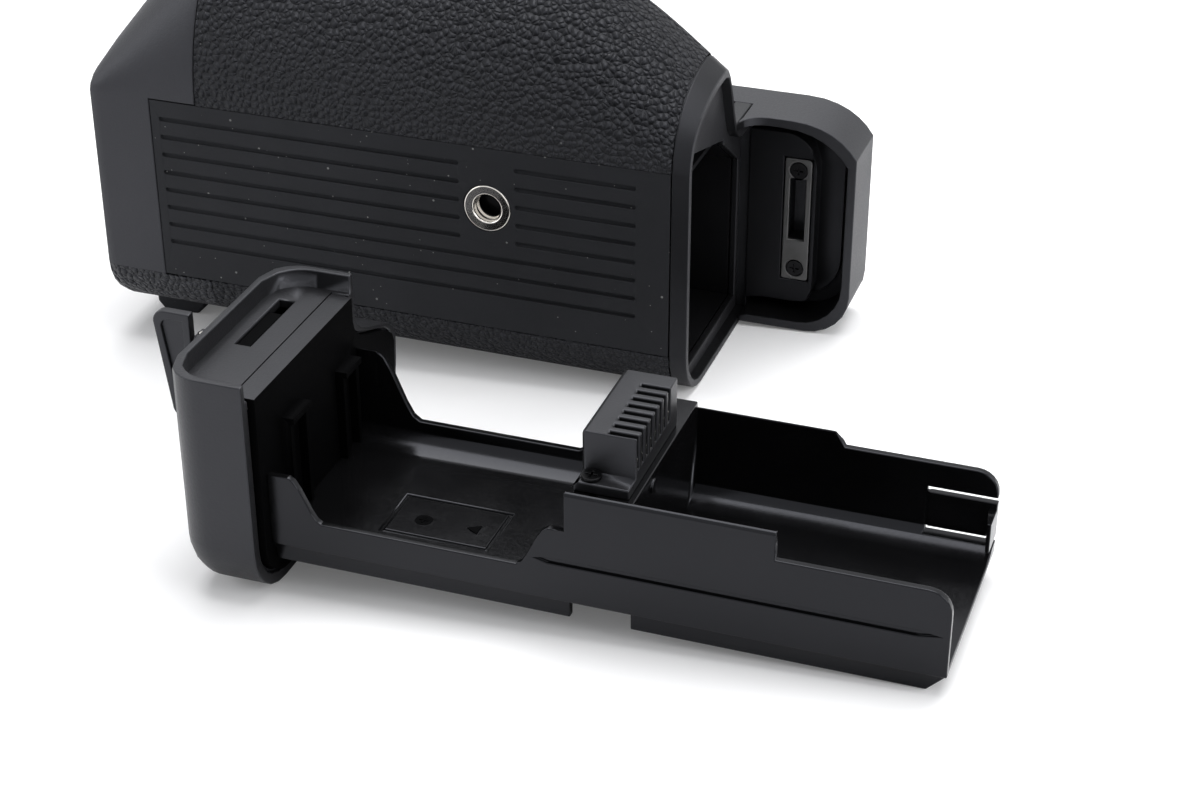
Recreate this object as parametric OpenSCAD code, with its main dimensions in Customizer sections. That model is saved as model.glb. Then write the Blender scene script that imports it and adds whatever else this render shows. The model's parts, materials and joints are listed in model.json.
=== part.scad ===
// Camera battery grip, laid on its rear side, with its battery tray taken out in front of it.
// Grip axes before it is laid down: X runs along the grip toward the door end, Y from the base
// pad to the camera, Z from the rear to the hand bulge. Zero is the mouth, pad and rear plane.
// Tray axes: X runs from the door to the free end, Y from the front wall back, Z up.

/* [Batteries] */
// Length of one battery
battery_l = 45; // [42:0.5:48]
// Width of one battery
battery_w = 31.2; // [30:0.1:33]
// Side clearance of a battery in its bay
battery_gap = 0.2; // [0.1:0.05:0.4]
// End clearance of a battery in its bay
bay_gap = 0.5; // [0.3:0.1:1.2]

/* [Tray] */
// Thickness of the front wall
wall_front = 1.2; // [1:0.1:1.6]
// Thickness of the back wall
wall_back = 1.2; // [1:0.1:1.6]
// Height of the floor's top above the runners' feet
floor_top = 4.3; // [3.8:0.1:5]
// Thickness of the floor
floor_t = 0.9; // [0.7:0.1:1.2]
// Length of the bulkhead between the two bays
bulkhead_t = 9.3; // [8:0.1:11]
// Height of the bulkhead
bulkhead_top = 21; // [20:0.1:22]
// Height of the low wall stretches beside the door bay
low_wall = 8.4; // [7:0.1:10]
// Height of the walls beside the door
door_wall = 15.6; // [13:0.1:17]
// Height of the high front wall beside the bulkhead
high_wall = 22; // [21:0.1:23]
// Height of the high back wall behind the bulkhead
back_wall = 20; // [19:0.1:21]
// Height of both walls at the free end
end_wall = 17.5; // [16:0.1:18.5]
// Corner radius of the walls at the free end
wall_r = 3.5; // [1:0.1:5]
// Width of the hollow curve between floor and back wall
fillet_w = 6; // [3:0.5:8]
// Height of the hollow curve between floor and back wall
fillet_h = 2.8; // [1.5:0.1:4]
// Step of the runners in from the walls
runner_step = 1.2; // [1:0.1:2]
// Thickness of the runners
runner_t = 1.3; // [1:0.1:2]
// Chamfer at the free end of the runners
runner_chamfer = 3; // [2:0.5:4]
// Height of the guide groove on the front wall
groove_z = 10.1; // [9:0.1:11]
// Width of the guide groove
groove_w = 1; // [0.6:0.1:1.4]
// Depth of the guide groove
groove_d = 0.5; // [0.3:0.1:0.7]

/* [Contact block] */
// Height of the block above the bulkhead
block_h = 8.1; // [7:0.1:8.2]
// Width of the block
block_w = 19.1; // [18:0.1:21]
// Distance of the block from the front wall's outer face
block_y = 6.2; // [5.8:0.1:7]
// Width of the screw flange in front of the block
flange_w = 3.4; // [3.2:0.1:3.8]
// Thickness of the screw flange
flange_t = 1.6; // [1.2:0.1:2]
// Number of contacts
contact_n = 8; // [4:1:8]
// Distance from contact to contact
contact_pitch = 2.04; // [1.9:0.02:2.1]
// Width of a contact slot
contact_slot = 0.9; // [0.7:0.05:1.1]
// Thickness of a contact
contact_t = 0.5; // [0.3:0.05:0.6]

/* [Battery catch] */
// Length of the catch tongue
catch_l = 10.3; // [8:0.1:13]
// Lower edge of the catch tongue
catch_z = 6.4; // [6:0.1:7]
// Height of the catch tongue
catch_h = 6; // [5:0.1:6.4]
// Gap at the root of the catch tongue
catch_gap = 0.3; // [0.25:0.05:0.5]
// Height of the slots above and below the catch tongue
catch_slot = 0.9; // [0.4:0.1:1.2]
// Reach of the hook into the bay
hook_reach = 4.4; // [3:0.1:5]
// Thickness of the hook
hook_t = 1.2; // [0.8:0.1:1.6]

/* [Door] */
// Thickness of the door
door_t = 14.2; // [14:0.1:15]
// Drop of the door below the tray's feet
door_drop = 6; // [5.5:0.1:6.5]
// Overhang of the door in front of the front wall
door_over = 4.2; // [4:0.1:5]
// Height of the door's flat top above the tray's feet
deck_z = 29.3; // [29.2:0.1:30]
// Wall of the door shell
door_wall_t = 1.8; // [1.4:0.1:2.2]
// Rounding of the door's outer edge
door_r = 6; // [3:0.5:7]
// Height of the lip above the flat top
lip_h = 3; // [2:0.1:3.4]
// Thickness of the lip
lip_t = 1.2; // [0.8:0.1:1.6]
// Thickness of the gasket strip
gasket_t = 0.5; // [0.3:0.05:0.7]
// Thickness of the inner plate
inner_t = 7.8; // [6.2:0.1:7.9]
// Depth of the ledges on the door's inner face
ledge_t = 2; // [1.2:0.1:2.5]

/* [Door lock] */
// Width of the lock bar
bar_w = 11.2; // [9:0.1:12]
// Thickness of the lock bar
bar_t = 2.2; // [1.6:0.1:2.2]
// Height of the lock bar
bar_h = 14; // [12:0.1:16]
// Distance of the lock bar's middle from the mouth plane
bar_x = 9.2; // [9.1:0.1:9.4]
// Distance of the lock bar's middle from the rear plane
bar_z = 22.8; // [22:0.1:23.5]
// Depth of the bar's end below the flat top when open
bar_sink = 0.3; // [0.2:0.05:0.5]
// Crank radius of the knob
crank_r = 2.6; // [2:0.1:2.8]
// Crank pin radius
crank_pin_r = 1; // [0.8:0.1:1.1]
// Radius of the knob
knob_r = 7; // [6.6:0.1:9]
// Thickness of the knob
knob_t = 1.75; // [1.4:0.05:2.2]
// Radius of the knob shaft
shaft_r = 2.6; // [2:0.1:3]
// Height of the knob's middle above the pad plane
knob_y = 27.5; // [26:0.1:28]
// Distance of the knob's middle from the rear plane
knob_z = 20.2; // [19.5:0.1:21]
// Length of the handle flap
flap_l = 6.4; // [6:0.1:9]
// Width of the handle flap
flap_w = 18.7; // [16:0.1:20]
// Thickness of the handle flap
flap_t = 1.6; // [1.2:0.1:2]
// Radius of the flap pin
flap_pin_r = 0.7; // [0.5:0.05:0.8]

/* [Grip body] */
// Length of the shutter end past the tray's free end
end_l = 9.5; // [9:0.5:14]
// Radius of the long edge between rear and base
corner_r = 9.5; // [9:0.1:10]
// Place of the bulge's crest across the grip
crest_y = 19; // [17:0.5:21]
// Rise of the crest above the chamber at the mouth
crest_mouth = 15.4; // [13:0.1:18]
// Rise of the crest above the chamber at the middle
crest_mid = 32.4; // [28:0.1:36]
// Rise of the crest above the chamber at the shutter end
crest_end = 7.4; // [5:0.1:10]
// Length over which the crest rises from the mouth
crest_run = 32; // [25:1:50]
// Length of the sloped shoulder at the shutter end
shoulder_l = 24; // [20:0.5:28]
// Rounding of the shutter end
end_r = 4; // [2:0.5:6]
// Place of the finger saddle across the grip
saddle_y = 31; // [30.5:0.1:32]
// Rise of the finger saddle above the chamber's front
saddle_rise = 0.4; // [0.2:0.05:1]
// Wall of the shells
shell_t = 1.5; // [1.2:0.1:1.6]
// Thickness of the leather wraps
leather_t = 0.7; // [0.5:0.1:0.9]
// Length of the mouth frame
frame_l = 3.2; // [2:0.1:5]
// Depth and thickness of the thin rim round the mouth
rim_d = 1.8; // [1:0.1:2]
rim_t = 1.4; // [1:0.1:1.5]
// Length of the shutter end that the leather leaves bare
bare_l = 23; // [20:0.5:26]
// Depth of the recess in the shutter end
recess_d = 1.6; // [0.8:0.1:1.8]

/* [Chamber] */
// Clearance round the tray in the chamber
chamber_gap = 0.4; // [0.3:0.05:0.5]
// Wall of the chamber liner
liner_t = 0.9; // [0.7:0.05:0.95]

/* [Base pad] */
// Thickness of the pad
pad_t = 1.2; // [0.9:0.1:1.4]
// Height of the pad's front edge above the chamber
pad_rise = 4.4; // [3:0.1:5]
// Length of the pad on the shutter end
pad_over = 9; // [6:0.5:12]
// Number of grooves
groove_n = 8; // [4:1:8]
// Distance from groove to groove
groove_pitch = 3.39; // [2.8:0.01:3.6]
// Width of a pad groove
pad_groove_w = 0.8; // [0.5:0.1:1.2]
// Depth of a pad groove
pad_groove_d = 0.5; // [0.3:0.1:0.7]
// Distance of the first groove from the pad's front edge
groove_first = 3.4; // [2.5:0.1:4]
// Half length of the gap in the grooves round the socket
socket_clear = 5.4; // [5:0.1:8]

/* [Tripod socket] */
// Distance of the socket from the mouth plane
socket_x = 35.8; // [25:0.1:60]
// Distance of the socket from the rear plane
socket_z = 31.9; // [26:0.1:34]
// Core radius of the quarter inch thread
socket_r = 2.55; // [2.5:0.01:2.7]
// Radius of the socket's ring
socket_ring_r = 4.25; // [4:0.05:5]
// Depth of the socket
socket_depth = 3.2; // [3:0.1:3.4]

/* [Camera plate] */
// Thickness of the plate past its seat on the shells
plate_t = 7.1; // [7:0.1:8]
// Length of the protrusion past the mouth
nose_l = 20.5; // [20:0.1:22]
// Corner radius of the protrusion
nose_r = 8; // [5:0.5:9]
// Chamfer of the protrusion's front corner
nose_chamfer = 6; // [4:0.5:8]
// Drop of the plate's front edge below the pad's
plate_drop = 1.5; // [0.5:0.1:3]
// Depth of the skirt below the striker plane
skirt_h = 4; // [2:0.1:5]
// Thickness of the skirt
skirt_t = 1.6; // [1.2:0.1:2.4]
// Width of the deep groove inside the skirt
groove_in = 1.9; // [1.5:0.1:2.4]
// Radius where the skirt runs into the mouth
web_r = 4.4; // [3:0.1:5]
// Depth of the groove behind the skirt, from the striker plane
groove_h = 5.6; // [4:0.1:6]
// Thickness of the seal at the bottom of the groove
seal_t = 1; // [0.6:0.1:1.2]
// Clearance between lip and groove
lip_gap = 0.4; // [0.3:0.05:0.6]
// Gap between the door's flat top and the striker plane
deck_gap = 0.2; // [0.1:0.05:0.4]
// Striker plate length
striker_l = 23.8; // [22:0.1:25]
// Striker plate width
striker_w = 5; // [4.4:0.1:5.4]
// Striker plate thickness
striker_t = 0.8; // [0.5:0.1:1]
// Distance of the striker's screws from its ends
striker_screw = 2.3; // [2:0.1:2.6]

/* [Mounting screw] */
// Radius of the quarter inch stud
stud_r = 3.175; // [3:0.005:3.2]
// Length of the stud past the plate
stud_l = 5; // [4:0.1:6]
// Neck of the screw below the camera pad, smaller than its thread
stud_neck = 2.8; // [2.4:0.1:2.9]
// Distance of the stud from the mouth plane
stud_x = 52; // [45:0.5:65]
// Radius of the clamp wheel
wheel_r = 19.5; // [18:0.1:21]
// Thickness of the clamp wheel
wheel_t = 3.4; // [2.8:0.1:3.6]
// Number of knurls on the clamp wheel
wheel_n = 60; // [30:1:72]
// Reach of the clamp wheel past the rear plane
wheel_proud = 1; // [0.6:0.1:1.4]

/* [Camera interface] */
// Thickness of the camera pad
camera_pad_t = 0.6; // [0.4:0.1:1]
// Radius of the locating pins
pin_r = 1.5; // [1:0.05:2]
// Length of the locating pins past the plate
pin_l = 3; // [2:0.1:4]
// Radius of a pin's root in the plate
pin_root = 2; // [1.8:0.1:2.2]
// Distance between the locating pins
pin_span = 60; // [50:1:70]
// Height of the contact post past the plate
post_h = 4; // [3:0.1:6]
// Length of the contact post
post_l = 14; // [11:0.5:18]
// Width of the contact post
post_w = 6; // [5:0.5:8]

/* [Controls] */
// Radius of the shutter button
shutter_r = 5; // [4:0.1:5.5]
// Tilt of the shutter button
shutter_tilt = 25; // [15:1:30]
// Travel of the shutter button
shutter_travel = 1; // [0.6:0.1:1.4]
// Width of the power ring
ring_w = 2.4; // [2:0.1:3]
// Radius of the front dial
dial_r = 7.5; // [7:0.1:8]
// Width of the front dial
dial_w = 4.6; // [4:0.1:5]
// Reach of the front dial past the crest
dial_proud = 1.6; // [1.2:0.1:2]
// Number of ribs on the front dial
dial_n = 24; // [12:1:32]
// Radius of the focus button
focus_r = 4; // [3:0.1:4.5]
// Radius of the function button
function_r = 3.2; // [2.6:0.1:4]
// Reach of the rear buttons past the rear plane
button_proud = 1.8; // [1:0.1:2.2]
// Length of the thumb rest
rest_l = 10; // [8:0.5:11]
// Width of the thumb rest
rest_w = 22; // [16:0.5:24]

/* [Lay] */
// Distance along the grip from the mouth to the tray's free end
tray_dx = 60.3; // [50:0.1:70]
// Distance from the pad plane to the tray's front wall
tray_dy = 71; // [60:0.1:80]

/* [Hidden] */
$fn = 48;
// Overshoot of a cut past the face that it opens
cut = 1;
// Running clearance of pins, shafts and buttons in their bores
run = 0.05;
// Clearance of inserts that are let into a pocket
fit = 0.1;
// Gap between nested skins
skin_gap = 0.06;

// Tray sizes that follow from the batteries
bay_l = battery_l + bay_gap;
tray_l = hook_t + 2 * bay_l + bulkhead_t + ledge_t;
tray_w = wall_front + battery_w + 2 * battery_gap + wall_back;
floor_bottom = floor_top - floor_t;
back_in = tray_w - wall_back;
bulk_x1 = -hook_t - bay_l;
bulk_x0 = bulk_x1 - bulkhead_t;
block_top = bulkhead_top + block_h;

// The grip's section, which the door shares
chamber_y0 = door_drop - chamber_gap;
chamber_y1 = door_drop + block_top + chamber_gap;
chamber_z0 = door_over - chamber_gap;
chamber_z1 = door_over + tray_w + chamber_gap;
deck_y = door_drop + deck_z;
striker_y = deck_y + deck_gap;
seat_y = max(chamber_y1 + liner_t, striker_y) + 0.3;
face_y = seat_y + plate_t;
pad_top = chamber_z1 + pad_rise;
saddle_z = chamber_z1 + saddle_rise;
body_l = tray_l + end_l;
skin_x0 = bare_l - body_l;
skin_x1 = -frame_l;
pad_x0 = skin_x0 - pad_over;
shell_in = leather_t + shell_t;
// The parting plane of the two shells lies at the end of the rounded edge
split_z = corner_r - 0.5;

// The lay: the door and the runners of the tray stand on the floor, and the grip leans alike
door_rim = 0.8;
pitch = atan(door_drop / (tray_l + door_rim - runner_chamfer));
tray_dz = tan(pitch) * (tray_dx - runner_chamfer);
function floor_at(x) = tan(pitch) * x;

// Shapes of outlines
function clamp01(t) = max(0, min(1, t));
function ease(t) = 3 * t * t - 2 * t * t * t;
function arc(c, r, a0, a1, n = 6) =
    [for (i = [0:n]) let (a = a0 + (a1 - a0) * i / n) [c.x + r * cos(a), c.y + r * sin(a)]];
function s_curve(p, q, n = 6) =
    [for (i = [0:n]) let (t = i / n) [p.x + (q.x - p.x) * t, p.y + (q.y - p.y) * ease(t)]];
function bezier(p0, p1, p2, p3, n = 8) =
    [for (i = [0:n]) let (t = i / n, u = 1 - t)
        u * u * u * p0 + 3 * u * u * t * p1 + 3 * u * t * t * p2 + t * t * t * p3];

// Height of the bulge's crest along the grip
function crest(x) =
    let (rise = sin(90 * clamp01(-x / crest_run)), fall = clamp01((shoulder_l - body_l - x) / shoulder_l))
    chamber_z1 + crest_mouth + (crest_mid - crest_mouth) * rise - (crest_mid - crest_end) * pow(fall, 1.4);

// Rounding of the shutter end and of the door's outer edge, as an inset of the section
function end_inset(x) =
    let (d = x > 0 ? clamp01((x - door_t + door_r) / door_r) : clamp01((end_r - body_l - x) / end_r))
    (x > 0 ? door_r : end_r) * (1 - sqrt(1 - d * d));

// The section of the grip at x, drawn in by i, up to the camera side at y1
function section(x, i, y1) =
    let (e = i + end_inset(x), c = crest(x) - e, s = saddle_z - e, f = min(pad_top, c - 5))
    concat([[y1, e]],
        arc([corner_r, corner_r], corner_r - e, 270, 180),
        bezier([e, f], [e, f + (c - f) * 0.6], [crest_y - 10, c], [crest_y, c]),
        bezier([crest_y + 1, c], [crest_y + 6, c], [saddle_y - 6, s], [saddle_y, s]),
        [[y1, s]]);

// Rows of points along the sections between two planes
function row(x, i, y1) = [for (p = section(x, i, y1)) [x, p.x, p.y]];
function rows(x0, x1, i, y1, n) = [for (k = [0:n]) row(x0 + (x1 - x0) * k / n, i, y1)];
function moved(r, dx) = [for (p = r) p + [dx, 0, 0]];

// A closed solid through rows of matching points, the outer ones running toward +X
module through(r) {
    m = len(r[0]);
    last = len(r) - 1;
    polyhedron(
        points = [for (p = r) each p],
        faces = concat(
            [[for (j = [m - 1:-1:0]) j]],
            [[for (j = [0:m - 1]) last * m + j]],
            [for (a = [0:m:last * m - m]) for (j = [0:m - 1])
                let (b = (j + 1) % m) [a + j, a + b, a + m + b]],
            [for (a = [0:m:last * m - m]) for (j = [0:m - 1])
                let (b = (j + 1) % m) [a + j, a + m + b, a + m + j]]));
}
module loft(x0, x1, i, y1, n = 8) { through(rows(x0, x1, i, y1, n)); }
// Room inside a skin, run on past its ends and its camera side
module room(x0, x1, i, n = 8) {
    r = rows(x0, x1, i, seat_y + cut, n);
    through(concat([moved(r[0], -cut)], r, [moved(r[n], cut)]));
}

// Placing and extruding
module lay() { rotate([0, pitch, 0]) translate([socket_x, 0, -socket_z]) children(); }
module lay_tray() { lay() translate([tray_dx, -tray_dy, tray_dz]) children(); }
module lay_door() {
    lay_tray() translate([-tray_l, -door_over, -door_drop]) rotate(a = 180, v = [0, 1, 1]) children();
}
module along_x(x0, x1) { translate([x0, 0, 0]) rotate([90, 0, 90]) linear_extrude(x1 - x0) children(); }
module along_y(y0, y1) { translate([0, y1, 0]) rotate([90, 0, 0]) linear_extrude(y1 - y0) children(); }
module span(a, b) { translate(a) cube(b - a); }
module pin_y(x, z, y0, y1, r) { translate([x, y0, z]) rotate([-90, 0, 0]) cylinder(h = y1 - y0, r = r); }
module pin_x(y, z, x0, x1, r) { translate([x0, y, z]) rotate([0, 90, 0]) cylinder(h = x1 - x0, r = r); }
module pin_z(x, y, z0, z1, r) { translate([x, y, z0]) cylinder(h = z1 - z0, r = r); }

// Closed end of the chamber, and the height of the bevel at its front corner
liner_x0 = -tray_l - chamber_gap;
liner_bevel = 7.6;
// Section of the chamber, wider by e all round, with its corners cut to clear the grip's edges
function chamber(e) =
    let (y0 = chamber_y0 - e, y1 = chamber_y1 + e, z0 = chamber_z0 - e, z1 = chamber_z1 + e,
        k = 1.85 + 0.58 * e)
    [[y0 + k, z0], [y1, z0], [y1, z1 - liner_bevel], [y1 - 10.9, z1], [y0, z1], [y0, z0 + k]];

// Places of the dial, the rear buttons and the fasteners
dial_x = skin_x0 + 15;
dial_z = crest(dial_x) + dial_proud - dial_r;
dial_y = crest_y - 3;
dial_gap = 0.5;
dial_ear_t = 1.4;
bracket_w = 6;
axle_r = 1;
focus_at = [skin_x0 + 7, chamber_y1 - 9];
function_at = [skin_x0 + 18, chamber_y1 - 9];
button_y1 = chamber_z0 - liner_t - 0.8;
striker_z0 = bar_z - striker_l / 2 - 2;
striker_xs = [bar_x - striker_w / 2, bar_x + striker_w / 2];
striker_zs = [striker_z0 + striker_screw, striker_z0 + striker_l - striker_screw];
case_zs = [chamber_z0 + 3, pad_top - 7];
case_xs = [skin_x0 - 5, -22];
stud_z = wheel_r - wheel_proud;
wheel_y = seat_y + 2.4;
wheel_gap = 0.4;
pin_xs = [-stud_x - pin_span / 2, -stud_x + pin_span / 2];
pin_z0 = pad_top - 12;
// Face on which the camera rests
rest_y = face_y + camera_pad_t;
post_x = skin_x0 + 12;
lug_z = chamber_z0 + 18;

// The hand bulge and the base face
module front_shell() {
    color([0.24, 0.24, 0.26]) lay() difference() {
        difference() {
            loft(skin_x0, skin_x1, leather_t, seat_y);
            span([-body_l, -cut, -cut], [0, face_y, split_z + fit]);
            span([-body_l, -cut, -cut], [0, crest_y, pad_top + fit]);
        }
        room(skin_x0, skin_x1, shell_in);
        dial_slot(dial_gap);
        shutter_bite(fit);
    }
}
// Flat wall behind the rubber pad
module base_plate() {
    color([0.24, 0.24, 0.26]) lay() difference() {
        span([skin_x0, pad_t + fit, split_z + fit], [skin_x1, shell_in, pad_top]);
        pin_y(-socket_x, socket_z, 0, shell_in + cut, socket_ring_r - socket_step + fit);
    }
}
module dial_slot(e) {
    span([dial_x - dial_r - e, dial_y - dial_w / 2 - e, dial_z - dial_r],
        [dial_x + dial_r + e, dial_y + dial_w / 2 + e, crest(dial_x) + cut]);
}

module rear_shell() {
    color([0.23, 0.23, 0.25]) lay() difference() {
        loft(skin_x0, skin_x1, leather_t, seat_y);
        room(skin_x0, skin_x1, shell_in);
        span([-body_l, -cut, split_z], [0, face_y, 2 * pad_top]);
        pin_z(focus_at.x, focus_at.y, -cut, shell_in + cut, focus_r + run);
        pin_z(function_at.x, function_at.y, -cut, shell_in + cut, function_r + run);
    }
}

// The smooth shutter end, with the boss of the shutter button on its shoulder
module at_shutter() {
    x = skin_x0 - 4;
    translate([x, crest_y, crest(x)]) rotate([0, -shutter_tilt, 0]) children();
}
collar_r = shutter_r + run + 0.8;
boss_r = collar_r + ring_w + 0.6;
boss_top = 1.2;
boss_d = 5;
// Round bite in the skins that clears the boss
module shutter_bite(e) {
    at_shutter() translate([0, 0, -boss_d - e]) cylinder(h = 4 * boss_d, r = boss_r + e);
}
ring_h = 2;
module end_cap() {
    color([0.26, 0.26, 0.28]) lay() difference() {
        union() {
            through(concat(rows(-body_l, skin_x0 - fit, 0, seat_y, 12),
                rows(skin_x0 - fit, shell_in - body_l, shell_in, seat_y - shell_t, 12)));
            intersection() {
                at_shutter() union() {
                    translate([0, 0, -boss_d]) cylinder(h = boss_d + boss_top, r = boss_r);
                    translate([0, 0, -boss_d]) cylinder(h = boss_d + boss_top + ring_h + 0.2, r = collar_r);
                }
                span([-body_l - cut, 0, chamber_z1], [skin_x0 + boss_r, seat_y, 2 * pad_top]);
            }
        }
        at_shutter() translate([0, 0, -2.6]) cylinder(h = 20, r = shutter_r + run);
        pad_recess();
        span([liner_x0 - liner_t - fit, seat_y - shell_t - fit, chamber_z0 - liner_t - fit],
            [skin_x0 + cut, seat_y + cut, chamber_z1 - liner_bevel + liner_t + fit]);
        along_x(liner_x0 - liner_t - fit, skin_x0 + cut) polygon(chamber(liner_t + fit));
        span([-body_l - cut, -cut, lug_z - 9], [-body_l + recess_d, seat_y + cut, lug_z + 9]);
    }
}

module front_leather() {
    color([0.16, 0.16, 0.17]) lay() difference() {
        loft(skin_x0, skin_x1, 0, seat_y);
        room(skin_x0, skin_x1, leather_t - skin_gap);
        span([-body_l, -cut, -cut], [0, crest_y, pad_top + fit]);
        span([-body_l, -cut, -cut], [0, face_y, split_z + fit]);
        dial_slot(dial_gap);
        shutter_bite(fit);
    }
}
module rear_leather() {
    color([0.16, 0.16, 0.17]) lay() difference() {
        loft(skin_x0, skin_x1, 0, seat_y);
        room(skin_x0, skin_x1, leather_t - skin_gap);
        span([-body_l, -cut, split_z], [0, face_y, 2 * pad_top]);
        pin_z(focus_at.x, focus_at.y, -cut, shell_in, focus_r + run);
        pin_z(function_at.x, function_at.y, -cut, shell_in, function_r + run);
    }
}

// Rubber pad with long grooves, the first half of them broken off round the tripod socket
module pad_recess() {
    span([pad_x0 - fit, -cut, split_z - fit], [skin_x1 + cut, pad_t + fit, pad_top + fit]);
}
module base_pad() {
    x0 = pad_x0 + 2;
    x1 = skin_x1 - 6.4;
    color([0.18, 0.19, 0.2]) lay() difference() {
        span([pad_x0, 0, split_z + fit], [skin_x1 - fit, pad_t, pad_top]);
        for (i = [0:groove_n - 1]) {
            z = pad_top - groove_first - i * groove_pitch;
            near = abs(z - socket_z) < socket_clear + 3;
            if (near) pad_groove(x0, -socket_x - socket_clear, z);
            if (near) pad_groove(-socket_x + socket_clear, x1, z);
            if (!near) pad_groove(x0, x1, z);
        }
        pin_y(-socket_x, socket_z, -cut, pad_t + cut, socket_ring_r + fit);
    }
}
module pad_groove(x0, x1, z) {
    span([x0, -cut, z - pad_groove_w / 2], [x1, pad_groove_d, z + pad_groove_w / 2]);
    for (x = [x0, x1]) pin_y(x, z, -cut, pad_groove_d, pad_groove_w / 2);
}

socket_step = 0.6;
module tripod_socket() {
    color([0.72, 0.71, 0.68]) lay() translate([-socket_x, 0, socket_z]) rotate([-90, 0, 0]) difference() {
        union() {
            cylinder(h = pad_t, r = socket_ring_r);
            cylinder(h = socket_depth, r = socket_ring_r - socket_step);
        }
        translate([0, 0, -cut]) cylinder(h = socket_depth + 2 * cut, r = socket_r);
    }
}

// Plain plastic strip that frames the mouth, filled over the finger saddle up to the protrusion's top,
// with a sloping relief above the chamber
relief_z = pad_top + 1.2;
relief_y = saddle_y - 5;
module mouth_frame() {
    color([0.25, 0.25, 0.27]) lay() difference() {
        union() {
            loft(skin_x1 + fit, 0, 0, seat_y, 1);
            span([skin_x1 + fit, saddle_y - 4, chamber_z1], [0, seat_y, plate_z1]);
        }
        along_x(skin_x1 - cut, cut) polygon(chamber(0));
        along_x(-rim_d, cut) polygon(section(0, rim_t, seat_y + cut));
        along_x(skin_x1 - cut, cut) polygon([[chamber_y0, chamber_z1 - cut], [chamber_y0, relief_z],
            [relief_y, chamber_z1], [relief_y, chamber_z1 - cut]]);
    }
}

module chamber_liner() {
    color([0.07, 0.07, 0.07]) lay() difference() {
        along_x(liner_x0 - liner_t, skin_x1) polygon(chamber(liner_t));
        along_x(liner_x0, cut) polygon(chamber(0));
        span([blade_x0 - fit, chamber_y1 - cut, blade_z0 - 1], [blade_x1 + fit, seat_y, blade_z1 + 1]);
    }
}

// Contacts that enter the slots of the tray's contact block when the tray is home
blade_x1 = -tray_l - bulk_x1 - chamber_gap;
blade_l = 5;
blade_x0 = blade_x1 - blade_l;
blade_z0 = door_over + block_y + contact_slot;
blade_z1 = blade_z0 + (contact_n - 1) * contact_pitch;
board_t = 1;
board_edge = 4;
module contact_board() {
    color([0.1, 0.3, 0.16]) lay()
        span([blade_x0 - board_edge, seat_y + fit, blade_z0 - board_edge],
            [blade_x1 + board_edge, seat_y + fit + board_t, blade_z1 + board_edge]);
}
module contact_blades() {
    color([0.85, 0.7, 0.35]) lay() for (i = [0:contact_n - 1]) {
        z = blade_z0 + i * contact_pitch;
        span([blade_x0, chamber_y1 - 4, z - contact_t / 2], [blade_x1, seat_y + fit, z + contact_t / 2]);
    }
}

// Outline of the camera plate, with the protrusion past the mouth
nose_z0 = floor_at(nose_l - nose_r) + 0.15;
plate_z1 = pad_top - plate_drop;
skirt_y = striker_y - skirt_h;
function plate_outline(e) =
    let (x0 = 2 - body_l + e, x1 = nose_l - e, z0 = 0.4 + e, z1 = plate_z1 - e, n0 = nose_z0 + e,
        k = nose_chamfer)
    concat(arc([x0 + 6, z0 + 6], 6, 270, 180), [[x0, z1 - 6]], [[x0 + 6, z1]],
        bezier([x1 - 2 * k, z1], [x1 - k, z1], [x1 - k * 0.35, z1 - k * 0.45], [x1, z1 - k], 6),
        arc([x1 - nose_r, n0 + nose_r], nose_r, 360, 270), [[e, n0]], [[0, z0]]);
module nose(x0) {
    intersection() {
        children();
        span([x0, 0, -cut], [nose_l + cut, face_y + cut, pad_top + cut]);
    }
}
module camera_plate() {
    color([0.25, 0.25, 0.27]) lay() difference() {
        union() {
            along_y(seat_y, face_y) polygon(plate_outline(0));
            nose(fit) along_y(skirt_y, seat_y) polygon(plate_outline(0));
            translate([0, 0, plate_z1 - skirt_t]) linear_extrude(skirt_t)
                polygon(concat([[fit, skirt_y + cut]], arc([fit + web_r, skirt_y - web_r], web_r, 180, 90),
                    [[fit + web_r, skirt_y + cut]]));
        }
        nose(-cut) along_y(0, striker_y) polygon(plate_outline(skirt_t));
        lip_groove(skirt_t, lip_h + lip_gap) island();
        lip_groove(skirt_t, groove_h) nose(0) along_y(0, face_y) polygon(plate_outline(skirt_t + groove_in));
        striker_pocket();
        wheel_pocket();
        pin_y(-stud_x, stud_z, seat_y - cut, face_y + cut, stud_neck + run);
        for (x = pin_xs) pin_y(x, pin_z0, face_y - pin_l, face_y + cut, pin_root);
        span([blade_x0 - board_edge - fit, seat_y - cut, blade_z0 - board_edge - fit],
            [blade_x1 + board_edge + fit, seat_y + board_t + 2 * fit, blade_z1 + board_edge + fit]);
        for (x = case_xs) for (z = case_zs) case_bore(x, z);
    }
}
// Room of depth h behind the striker's face, inside an inset of the outline and round its children
module lip_groove(inset, h) {
    difference() {
        nose(lip_gap) along_y(0, striker_y + h) polygon(plate_outline(inset));
        children();
    }
}
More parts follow.
